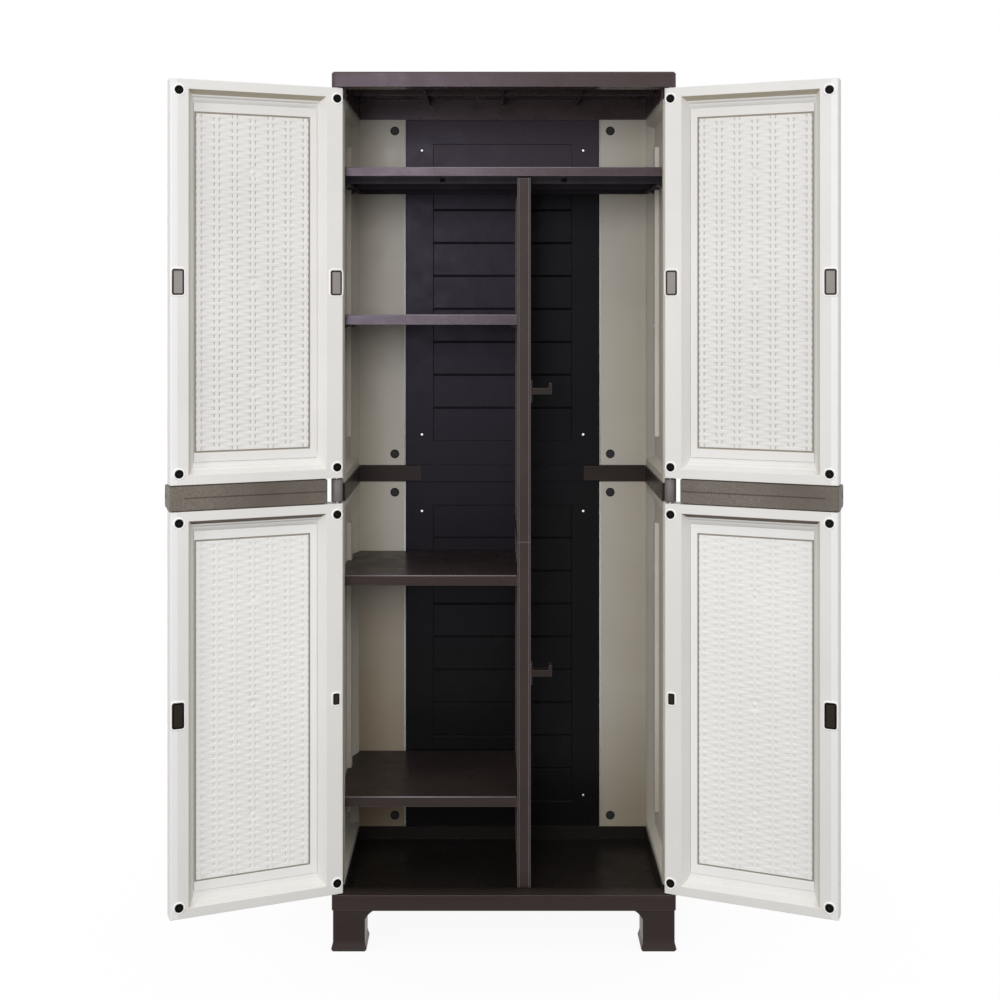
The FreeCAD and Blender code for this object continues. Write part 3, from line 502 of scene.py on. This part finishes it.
def tray_painted_shade(n, colour):
    """Painted shade on the floor of the base tray."""
    y = n.parts(n.place)[1]
    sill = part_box("base_tray")[0].y
    return n.mix(n.rise(y, shifted(sill, behind_sill)), colour, srgb(36, 32, 29))


def pale_plastic(name, pale, dark, edge_wear_and_highlight, shade=None):
    """The plastic of the doors and the side walls."""
    return moulded_plastic(name, pale, dark, 0.46, plain_grain, 0.30, edge_wear_and_highlight=edge_wear_and_highlight, shade=shade)


door_colours = ((234, 232, 228), (228, 226, 221))
pale = pale_plastic("ivory_plastic", (233, 231, 226), (227, 225, 219), (246, 245, 241))
# The wall plastic is the ivory made darker and warmer: painted shade for the cabinet's inside. Its outer faces get
# the doors' pale colour.
wall_pale = pale_plastic("wall_plastic", (214, 209, 197), (204, 198, 185), (236, 233, 224),
                         wall_painted_shade)
weave_pale = {}
door_pale = {}
# Per level: the weave's colours, and the colour of the painted shade on the recess's down-looking slopes, much
# darker on the lower doors. The lower weave is whiter than the upper one as painted light, where less lamp light
# reaches.
for level_name, weave_colours, down_slope_shade in (
        ("lower", ((243, 242, 238), (238, 237, 233)), (104, 90, 76)),
        ("upper", door_colours, (186, 176, 155))):
    weave_pale[level_name] = pale_plastic("weave_plastic_" + level_name, *weave_colours,
                                          (249, 248, 245), weave_painted_shade)
    door_pale[level_name] = pale_plastic("door_plastic_" + level_name, *door_colours,
                                         (250, 249, 246), door_painted_shade(level_name, down_slope_shade))
# The rims' and beads' near-white is a painted highlight.
rim_highlight_white = moulded_plastic("rim_highlight_plastic", (253, 252, 250), (250, 249, 246), 0.42, fine_grain,
                            0.30)
frame_brown = moulded_plastic("brown_plastic", (60, 50, 47), (49, 40, 37), 0.31, fine_grain, 0.12,
                              streak=cloud_stretch, edge_wear_and_highlight=(116, 109, 108))
tray_brown = moulded_plastic("tray_plastic", (62, 52, 49), (51, 42, 39), 0.31, fine_grain, 0.12,
                             streak=cloud_stretch, edge_wear_and_highlight=(116, 109, 108), shade=tray_painted_shade)
divider_brown = moulded_plastic("divider_plastic", (68, 57, 54), (56, 46, 44), 0.31, fine_grain,
                                0.13, edge_wear_and_highlight=(150, 142, 142))
# The lid and the upper shelves have the frame's plastic in lighter colours: painted light.
lid_brown = moulded_plastic("lid_plastic", (78, 66, 62), (66, 55, 51), 0.27, plain_grain, 0.26,
                            streak=cloud_stretch, edge_wear_and_highlight=(122, 114, 116), tint=cool_gloss)
top_brown = moulded_plastic("top_shelf_plastic", (78, 66, 64), (66, 55, 53), 0.26, plain_grain,
                            0.33, streak=cloud_stretch, edge_wear_and_highlight=(132, 124, 128), tint=cool_gloss,
                            shade=under_lip_painted_shade, dull=under_lip)
shelf_brown = moulded_plastic("shelf_plastic", (66, 54, 52), (54, 44, 42), 0.25, plain_grain,
                              0.42, streak=cloud_stretch, edge_wear_and_highlight=(132, 124, 128), tint=cool_gloss)
# The shelves' front beads are paler than the shelves: a painted highlight.
lip_highlight = moulded_plastic("lip_highlight_plastic", (138, 128, 134), (116, 107, 112), 0.30, fine_grain,
                             0.40, tint=cool_gloss)
hook_brown = moulded_plastic("dark_brown_plastic", (50, 43, 41), (41, 35, 33), 0.36, fine_grain,
                             0.08, edge_wear_and_highlight=(96, 92, 92))
strip_brown = moulded_plastic("strip_plastic", (132, 124, 114), (94, 86, 77), 0.5, strip_grain,
                              0.25, edge_wear_and_highlight=(50, 43, 38), speck=(330.0, 0.75))
back_brown = moulded_plastic("back_plastic", (24, 23, 22), (17, 17, 15), 0.30, plain_grain, 0.085,
                             edge_wear_and_highlight=(48, 46, 46), tint=back_gloss, shade=back_painted_sheen)
plug_black = moulded_plastic("plug_plastic", (12, 11, 10), (8, 7, 6), 0.5, fine_grain, 0.06)
plug_centre = moulded_plastic("plug_centre_plastic", (36, 33, 30), (26, 24, 22), 0.45, fine_grain,
                              0.1)
wall_plug = moulded_plastic("wall_plug_plastic", (60, 59, 63), (44, 43, 46), 0.45, fine_grain,
                            0.15)
# The knuckle's grey is painted light on the frame's brown plastic.
knuckle_lit_grey = moulded_plastic("knuckle_lit_plastic", (134, 127, 126), (108, 100, 99), 0.42,
                               belt_grain, 0.25)
clip_grey = moulded_plastic("grey_clip_plastic", (158, 151, 146), (136, 129, 124), 0.45,
                            fine_grain, 0.3)
clip_dark = moulded_plastic("dark_clip_plastic", (52, 45, 38), (40, 34, 29), 0.45, fine_grain,
                            0.08)
clip_edge = moulded_plastic("clip_edge_plastic", (60, 55, 51), (44, 40, 37), 0.45, fine_grain,
                            0.12)
pin_steel = brushed_pin("pin_steel")


def paint(thing, material):
    """Put one material in every slot of an object."""
    if not thing.material_slots:
        thing.data.materials.append(material)
    for place in thing.material_slots:
        place.material = material


# The material of each CAD node: by the record's slot, and then by its own name where it differs
slot_of = {part["node"]: part["material_slot"] for part in frame["record"]["subparts"]}
slot_looks = {"pale_panel": pale, "frame_plastic": frame_brown, "back_panel": back_brown,
              "dark_plug": plug_black, "grey_clip": clip_grey, "dark_clip": clip_dark,
              "hinge_pin": pin_steel}
node_looks = {"wall_panel_plugs": wall_plug, "belt_rear": back_brown, "lid": lid_brown,
              "shelf_top": top_brown, "shelf_upper": shelf_brown, "base_tray": tray_brown,
              "divider_lower": divider_brown, "divider_upper": divider_brown,
              "broom_hook_upper": hook_brown, "broom_hook_lower": hook_brown}
for _, side_name in sides:
    node_looks[side_name + "_door_strip"] = strip_brown
    for level_name in levels:
        node_looks["side_panel_" + level_name + "_" + side_name] = wall_pale
        node_looks[side_name + "_door_panel_" + level_name] = door_pale[level_name]
for node, slot_name in slot_of.items():
    paint(frame["nodes"][node], node_looks.get(node, slot_looks[slot_name]))


# Woven relief

def points_of(x, y, z):
    """Points from coordinates that may be grids, rows, columns or single numbers."""
    return np.stack(np.broadcast_arrays(x, y, z), axis=-1)


def on_door(side, s, n, z):
    """Points of a shut door's frame, as places on the open door; side is -1 for the left door."""
    return points_of(side * (pivot_x - s * cos_open - n * sin_open),
                     pivot_y - s * sin_open + n * cos_open, z)


def into_door(side):
    """The direction on the open door that points into the cabinet once it is shut."""
    return on_door(side, 0.0, 1.0, 0.0) - on_door(side, 0.0, 0.0, 0.0)


def node_levels(node):
    """The lowest and the highest level of a CAD node."""
    low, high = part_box(node)
    return low.z, high.z


def grid_faces(points, facing, first):
    """The corner numbers of a grid's faces, turned towards a direction."""
    rows, columns = points.shape[:2]
    index = np.arange(rows * columns).reshape(rows, columns) + first
    quads = np.stack([index[:-1, :-1], index[:-1, 1:], index[1:, 1:], index[1:, :-1]], axis=-1)
    quads = quads.reshape(-1, 4)
    across = points[1:, 1:] - points[:-1, :-1]
    along = points[1:, :-1] - points[:-1, 1:]
    if np.dot(np.cross(across, along).sum(axis=(0, 1)), facing) < 0:
        quads = quads[:, ::-1]
    return quads


def grid_piece(name, grids, facing, material, body):
    """A piece made of sheets through grids of points, their faces turned towards a direction."""
    corners = []
    faces = []
    for points in grids:
        faces.append(grid_faces(points, facing, sum(len(some) for some in corners)))
        corners.append(points.reshape(-1, 3))
    corners = np.concatenate(corners)
    quads = np.concatenate(faces)
    mesh = bpy.data.meshes.new(name)
    mesh.vertices.add(len(corners))
    mesh.vertices.foreach_set("co", corners.reshape(-1).astype(np.float32))
    mesh.loops.add(quads.size)
    mesh.loops.foreach_set("vertex_index", quads.reshape(-1).astype(np.int32))
    mesh.polygons.add(len(quads))
    mesh.polygons.foreach_set("loop_start", np.arange(0, quads.size, 4, dtype=np.int32))
    mesh.polygons.foreach_set("use_smooth", np.ones(len(quads), dtype=bool))
    mesh.update(calc_edges=True)
    mesh.validate()
    piece = bpy.data.objects.new(name, mesh)
    bpy.context.scene.collection.objects.link(piece)
    paint(piece, material)
    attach(piece, body)


def half_round(share):
    """The rise of a half-round section at a share of its half width."""
    return np.sqrt(np.clip(1.0 - share ** 2, 0.0, 1.0))


def weave(across, up):
    """Height of the weave over its floor, at places from the middle stake and the bottom."""
    stake = np.rint(across / stake_pitch)
    off = np.abs(across - stake * stake_pitch)
    row = np.floor(up / strand_pitch + 1e-6)
    from_row = (up / strand_pitch - row - 0.5) / 0.5
    over = (stake + row) % 2 == 0
    crown = strand_crown * (half_round(from_row) - 1.0)
    sway = strand_sway * np.cos(np.pi * off / stake_pitch)
    strand = strand_level + crown + np.where(over, sway, -sway)
    # Where a strand goes behind a stake, a small dark pocket stays at each side of the stake.
    from_pocket = np.abs(off - stake_half - pocket_width / 2) / (pocket_width / 2)
    in_pocket = ~over & (from_pocket < 1.0) & (np.abs(from_row) < pocket_height_share)
    on_stake = ~over & (off <= stake_half)
    strand = np.where(on_stake, stake_level + stake_crown * half_round(off / stake_half), strand)
    return np.where(in_pocket, pocket_level, strand)


def field_columns(half_width):
    """Places across a woven field: close together at each stake, wide apart between them."""
    offsets = np.concatenate([[-stake_pitch / 2], -stake_columns[:0:-1], stake_columns])
    stakes = int(half_width // stake_pitch) + 1
    places = (np.arange(-stakes, stakes + 1)[:, None] * stake_pitch + offsets[None, :]).reshape(-1)
    inside = places[np.abs(places) < half_width - edge_column_gap]
    return np.concatenate([[-half_width], inside, [half_width]])


def field_rows(height):
    """Places up a woven field: the grooves between strands and four places round each strand."""
    count = int(round(height / strand_pitch))
    places = (np.arange(count)[:, None] + strand_rows[None, :]).reshape(-1) * strand_pitch
    return np.concatenate([places, [count * strand_pitch]])


def woven_heights(half_width, height, bosses=(), relief=1.0):
    """Places across, places up and heights of a woven field with smooth round bosses."""
    across = field_columns(half_width)
    up = field_rows(height)
    a, u = np.meshgrid(across, up)
    raised = strand_level + relief * (weave(a, u) - strand_level)
    for centre in bosses:
        reach = np.hypot(a, u - centre)
        flat = np.clip((boss_radius - reach) / boss_blend + 1.0, 0.0, 1.0)
        bump = boss_base + boss_bump * half_round(reach / boss_bump_radius)
        raised = raised * (1 - flat) + bump * flat
    return across, up, raised


def bordered(across, up, raised, margin_side, margin_end, rise, groove):
    """Adds a flat border one step above the field's edge, with a groove inside it."""
    # A row close to the step keeps the smooth shading of the step off the wide flat border.
    near = np.array([border_steps[0], groove, groove + border_steps[1], groove + border_steps[2]])
    a = np.concatenate([[across[0] - margin_side[0]], across[0] - near[::-1], across,
                        across[-1] + near, [across[-1] + margin_side[1]]])
    u = np.concatenate([[up[0] - margin_end], up[0] - near[::-1], up, up[-1] + near,
                        [up[-1] + margin_end]])
    whole = np.full((len(u), len(a)), rise)
    whole[3:-3, 3:-3] = groove_level
    whole[5:-5, 5:-5] = raised
    return a, u, whole


def whole_strands(low, high, end):
    """The bottom and the height of a field of whole strands, about an end's length inside."""
    height = round((high - low - 2 * end) / strand_pitch) * strand_pitch
    return (low + high - height) / 2, height


def door_weave(side, side_name, level_name):
    """The woven sheets on the inside and the outside of one half door."""
    low, high = node_levels(side_name + "_door_panel_" + level_name)
    body = side_name + "_door"
    inward = into_door(side)
    start, height = whole_strands(low, high, inner_field_end)
    bosses = [height * share for share in boss_shares]
    field = woven_heights(inner_field_half_width, height, bosses, inner_relief[level_name])
    a, u, raised = bordered(*field, inner_field_margins, inner_field_margin_end, border_rise,
                            inner_field_groove)
    points = on_door(side, door_middle + inner_field_shift + a[None, :], inner_floor + raised,
                     start + u[:, None])
    grid_piece(side_name + "_weave_inside_" + level_name, [points], inward,
               weave_pale[level_name], body)
    start, height = whole_strands(low, high, outer_field_end)
    a, u, raised = bordered(*woven_heights(outer_field_half_width, height), outer_field_margins,
                            outer_field_margin_end, 0.0, outer_field_groove)
    points = on_door(side, door_middle + a[None, :], outer_floor - raised - sheet_lift,
                     start + u[:, None])
    grid_piece(side_name + "_weave_outside_" + level_name, [points], -inward, pale,
               body)


def side_weave(side, side_name, level_name):
    """The woven sheet on the outside of one side wall panel."""
    low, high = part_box("side_panel_" + level_name + "_" + side_name)
    floor = max(abs(low.x), abs(high.x)) - side_field_depth
    inset = side_field_border + side_field_depth
    half_width = (high.y - low.y) / 2 - inset - side_field_play
    height = high.z - low.z - 2 * (panel_seat + inset) - 2 * side_field_play
    height = int(height / strand_pitch) * strand_pitch
    start = (low.z + high.z - height) / 2
    a, u, raised = woven_heights(half_width, height)
    points = points_of(side * (floor + raised * side_field_relief + sheet_lift),
                       (low.y + high.y) / 2 + a[None, :], start + u[:, None])
    grid_piece("side_weave_" + level_name + "_" + side_name, [points], (side, 0.0, 0.0), pale,
               "cabinet")


# Rims, rings, beads and small faces

def rounded_ring(place, shape, section):
    """A closed band round a rounded rectangle, with a section of steps out and up."""
    half_width, half_height, corner = shape
    turns = np.linspace(0.0, math.pi / 2, corner_steps)
    rows = []
    for grow, rise in section:
        us = []
        vs = []
        for quarter in range(4):
            angle = turns + quarter * math.pi / 2
            centre_u = (half_width - corner) * (1 if quarter in (0, 3) else -1)
            centre_v = (half_height - corner) * (1 if quarter in (0, 1) else -1)
            us.append(centre_u + (corner + grow) * np.cos(angle))
            vs.append(centre_v + (corner + grow) * np.sin(angle))
        us = np.concatenate(us + [us[0][:1]])
        vs = np.concatenate(vs + [vs[0][:1]])
        rows.append(place(us, vs, rise))
    return np.stack(rows)


def round_shape(radius):
    """A circle as a rounded rectangle."""
    return (radius, radius, radius)


def clip_band(shape):
    """The section of a dark band on a clip's face, from near its middle to its edge."""
    wide = shape[2] * clip_band_share
    return ((-wide, -0.0002), (0.0002 - wide, 0.0004), (-0.0003, 0.0004), (0.0001, -0.0001))


def door_trims(side, side_name):
    """Pale rims round one door's plugs and clips, bands on its clips, and its plugs' centres; the rims' white is a
    painted highlight.
    """
    rims = []
    centres = []
    body = side_name + "_door"
    inward = into_door(side)

    def spot(s, z, level):
        return lambda u, v, rise: on_door(side, s + u, level + rise, z + v)

    for level_name in levels:
        low, high = node_levels(side_name + "_door_panel_" + level_name)
        for s in (door_hinge_edge + plug_hinge_side, door_free_edge - plug_free_side):
            for z in (low + plug_end, high - plug_end):
                rims.append(rounded_ring(spot(s, z, door_inner), round_shape(plug_radius),
                                         pale_rim))
                centres.append(rounded_ring(spot(s, z, door_inner + plug_head),
                                            round_shape(plug_centre_radius), plug_dome))
        middle = (low + high) / 2
        hinge_clip = small_clip if level_name == "lower" else tall_clip
        bands = []
        for s, shape in ((door_hinge_edge + clip_side, hinge_clip),
                         (door_free_edge - clip_side, tall_clip)):
            rims.append(rounded_ring(spot(s, middle, door_inner), shape, pale_rim))
            bands.append(rounded_ring(spot(s, middle, door_inner + plug_head), shape,
                                      clip_band(shape)))
        slot_name = slot_of[side_name + "_door_clips_" + level_name]
        grid_piece(side_name + "_clip_bands_" + level_name, bands, inward,
                   plug_black if slot_name == "dark_clip" else clip_edge, body)
    grid_piece(side_name + "_door_rims", rims, inward, rim_highlight_white, body)
    grid_piece(side_name + "_door_plug_centres", centres, inward, plug_centre, body)


def wall_ring(x, z, face, radius):
    """A dark ring on a face that looks to the front."""
    return rounded_ring(lambda u, v, rise: points_of(x + u, face - rise, z + v),
                        round_shape(radius), flat_rim)


def wall_trims():
    """Dark rings round the plugs of the wall panels and round the holes in the back."""
    rings = []
    back_low, back_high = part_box("back_panel_lower")
    plug_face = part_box("side_panel_lower_left")[1].y - wall_thickness
    hole_face = (back_low.y + back_high.y) / 2 - back_half_thickness
    for node, x, end, face, radius in (
            ("side_panel_lower_left", wall_plug_x, wall_plug_end, plug_face, plug_radius),
            ("side_panel_upper_left", wall_plug_x, wall_plug_end, plug_face, plug_radius),
            ("back_panel_lower", wall_hole_x, wall_hole_end, hole_face, wall_hole_radius),
            ("back_panel_upper", wall_hole_x, wall_hole_end, hole_face, wall_hole_radius)):
        low, high = node_levels(node)
        for z in (low + panel_seat + end, high - panel_seat - end):
            rings += [wall_ring(side * x, z, face, radius) for side, _ in sides]
    grid_piece("wall_rings", rings, (0.0, -1.0, 0.0), plug_black, "cabinet")


def return_beads(side, side_name):
    """Thin half-round beads up the free edges of the side walls' returns, their white a painted highlight."""
    turn = np.linspace(0.0, math.pi, bead_steps)
    grids = []
    for level_name in levels:
        low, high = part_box("side_panel_" + level_name + "_" + side_name)
        edge_x = high.x if side < 0 else low.x
        start, stop = low.z + panel_seat, high.z - panel_seat
        grids.append(np.stack([
            points_of(edge_x + side * bead_radius + radius * np.cos(turn),
                      high.y - wall_thickness - radius * np.sin(turn), z)
            for radius, z in ((0.0, start), (bead_radius, start), (bead_radius, stop),
                              (0.0, stop))]))
    grid_piece("return_beads_" + side_name, grids, (0.0, -1.0, 0.0), rim_highlight_white,
               "cabinet")


def shelf_edges():
    """A thin bright bead along the front edge of each shelf: a painted highlight."""
    turn = np.linspace(-math.pi / 4, math.pi * 3 / 4, bead_steps)
    grids = []
    for name in ("shelf_top", "shelf_upper", "shelf_middle", "shelf_lower"):
        low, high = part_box(name)
        start, stop = low.x + shelf_bead_end, high.x - shelf_bead_end
        grids.append(np.stack([
            points_of(x, low.y + shelf_bead_inset - radius * np.cos(turn),
                      high.z - shelf_bead_inset + radius * np.sin(turn))
            for radius, x in ((0.0, start), (shelf_bead_radius, start), (shelf_bead_radius, stop),
                              (0.0, stop))]))
    grid_piece("shelf_edges", grids, (0.0, -1.0, 1.0), lip_highlight, "cabinet")


def knuckle_sleeve(side, side_name):
    """The smooth front half of the face round the belt's hinge knuckle, in a grey that is painted light on the
    frame's brown.
    """
    turn = np.linspace(math.pi, 2 * math.pi, sleeve_steps)
    half = knuckle_height / 2
    upper = [(sleeve_bore, half + sleeve_end_lift),
             (knuckle_radius - sleeve_chamfer, half + sleeve_end_lift),
             (knuckle_radius + sleeve_lift, half - sleeve_chamfer)]
    section = [(radius, -z) for radius, z in upper] + upper[::-1]
    grid = np.stack([points_of(side * pivot_x + radius * np.cos(turn),
                               pivot_y + radius * np.sin(turn), pivot_z + z)
                     for radius, z in section])
    grid_piece("knuckle_face_" + side_name, [grid], (0.0, -1.0, 0.0), knuckle_lit_grey,
               "cabinet")


for side, side_name in sides:
    for level_name in levels:
        door_weave(side, side_name, level_name)
        side_weave(side, side_name, level_name)
for side, side_name in sides:
    door_trims(side, side_name)
    knuckle_sleeve(side, side_name)
    return_beads(side, side_name)
wall_trims()
shelf_edges()


# Stage, lights and camera

floor_reach = 30.0
floor_colour = (0.88, 0.88, 0.88, 1.0)
floor_glow_share = (0.93, 1.0)
floor_glow_distance = (0.3, 1.0)
# What the floor throws back on the cabinet is kept low.
floor_bounce = (0.12, 0.12, 0.12, 1.0)
white = (1.0, 1.0, 1.0, 1.0)

world_strength = 0.80
world_colour = (1.0, 1.0, 0.99, 1.0)

# Name, place, point aimed at, width and height, power and colour of each lamp
lamps = (
    ("front_left", (-0.5, -3.05, 1.75), (0.0, 0.0, 1.3), (0.7, 1.3), 27.0, (0.95, 0.94, 1.0)),
    ("side_left", (-3.0, -3.0, 2.1), (0.0, 0.0, 0.9), (1.0, 1.4), 27.0, (1.0, 1.0, 1.0)),
    ("side_right", (3.0, -3.0, 2.1), (0.0, 0.0, 0.9), (1.0, 1.4), 16.0, (1.0, 1.0, 1.0)),
    ("far_left", (-1.7, -4.2, 1.0), (0.0, 0.0, 0.7), (0.8, 1.2), 12.0, (1.0, 1.0, 1.0)),
)

# The photograph's camera: level, a little left of the middle, in front of the lid, with a drop of
# the picture plane
camera_x = -0.0218
camera_distance = 2.7546
camera_height = 1.2549
camera_lens_mm = 51.08
camera_shift = (0.0074, -0.1942)


def make_floor():
    """A pale floor that keeps the cabinet's shadow near it and fades to white further out."""
    mesh = bpy.data.meshes.new("floor")
    mesh.from_pydata([(-floor_reach, -floor_reach, 0), (floor_reach, -floor_reach, 0),
                      (floor_reach, floor_reach, 0), (-floor_reach, floor_reach, 0)],
                     [], [(0, 1, 2, 3)])
    floor = bpy.data.objects.new("floor", mesh)
    bpy.context.scene.collection.objects.link(floor)
    n = Nodes("floor_white")
    path = n.add("ShaderNodeLightPath")
    n.join(n.mix(path.outputs["Is Diffuse Ray"], floor_colour, floor_bounce),
           n.shader.inputs["Base Color"])
    n.shader.inputs["Roughness"].default_value = 0.9
    n.shader.inputs["Specular IOR Level"].default_value = 0.0
    glow = n.add("ShaderNodeEmission")
    glow.inputs["Color"].default_value = white
    glow.inputs["Strength"].default_value = 1.0
    seen = n.largest(path.outputs["Is Camera Ray"], path.outputs["Is Glossy Ray"],
                     path.outputs["Is Transmission Ray"])
    # Near the cabinet some of the floor's own shading stays, so the shadow shows.
    distance = n.add("ShaderNodeVectorMath", operation="LENGTH")
    n.join(n.place, distance.inputs[0])
    share = n.spread(distance.outputs["Value"], *floor_glow_share, floor_glow_distance)
    blend = n.add("ShaderNodeMixShader")
    n.join(n.product(seen, share), blend.inputs[0])
    n.join(n.shader.outputs[0], blend.inputs[1])
    n.join(glow.outputs[0], blend.inputs[2])
    n.join(blend.outputs[0], n.tree.nodes["Material Output"].inputs["Surface"])
    paint(floor, n.material)


def make_world():
    """White behind the object, and a plain light from all round."""
    world = bpy.data.worlds.new("studio")
    bpy.context.scene.world = world
    world.use_nodes = True
    nodes = world.node_tree.nodes
    links = world.node_tree.links
    nodes.clear()
    path = nodes.new("ShaderNodeLightPath")
    ambient = nodes.new("ShaderNodeBackground")
    ambient.inputs["Color"].default_value = world_colour
    ambient.inputs["Strength"].default_value = world_strength
    backdrop = nodes.new("ShaderNodeBackground")
    backdrop.inputs["Color"].default_value = white
    backdrop.inputs["Strength"].default_value = 1.0
    seen = path.outputs["Is Camera Ray"]
    for ray in ("Is Glossy Ray", "Is Transmission Ray"):
        both = nodes.new("ShaderNodeMath")
        both.operation = "MAXIMUM"
        links.new(seen, both.inputs[0])
        links.new(path.outputs[ray], both.inputs[1])
        seen = both.outputs[0]
    mix = nodes.new("ShaderNodeMixShader")
    links.new(seen, mix.inputs[0])
    links.new(ambient.outputs[0], mix.inputs[1])
    links.new(backdrop.outputs[0], mix.inputs[2])
    out = nodes.new("ShaderNodeOutputWorld")
    links.new(mix.outputs[0], out.inputs["Surface"])


def make_lamp(name, place, target, size, power, colour):
    """A soft rectangular lamp aimed at a point."""
    lamp = bpy.data.lights.new(name, "AREA")
    lamp.shape = "RECTANGLE"
    lamp.size, lamp.size_y = size
    lamp.energy = power
    lamp.color = colour
    thing = bpy.data.objects.new(name, lamp)
    thing.location = place
    thing.rotation_mode = "QUATERNION"
    thing.rotation_quaternion = (Vector(target) - Vector(place)).to_track_quat("-Z", "Y")
    bpy.context.scene.collection.objects.link(thing)


def make_camera():
    """The camera that the picture is seen through."""
    lens = bpy.data.cameras.new("camera")
    lens.sensor_width = 36.0
    lens.lens = camera_lens_mm
    lens.shift_x, lens.shift_y = camera_shift
    lens.clip_start = 0.05
    lens.clip_end = 100.0
    camera = bpy.data.objects.new("camera", lens)
    camera.location = (camera_x, lid_front - camera_distance, camera_height)
    camera.rotation_euler = (math.radians(90.0), 0.0, 0.0)
    bpy.context.scene.collection.objects.link(camera)
    bpy.context.scene.camera = camera


make_floor()
make_world()
for lamp in lamps:
    make_lamp(*lamp)
make_camera()
bpy.context.scene.view_settings.view_transform = "Standard"
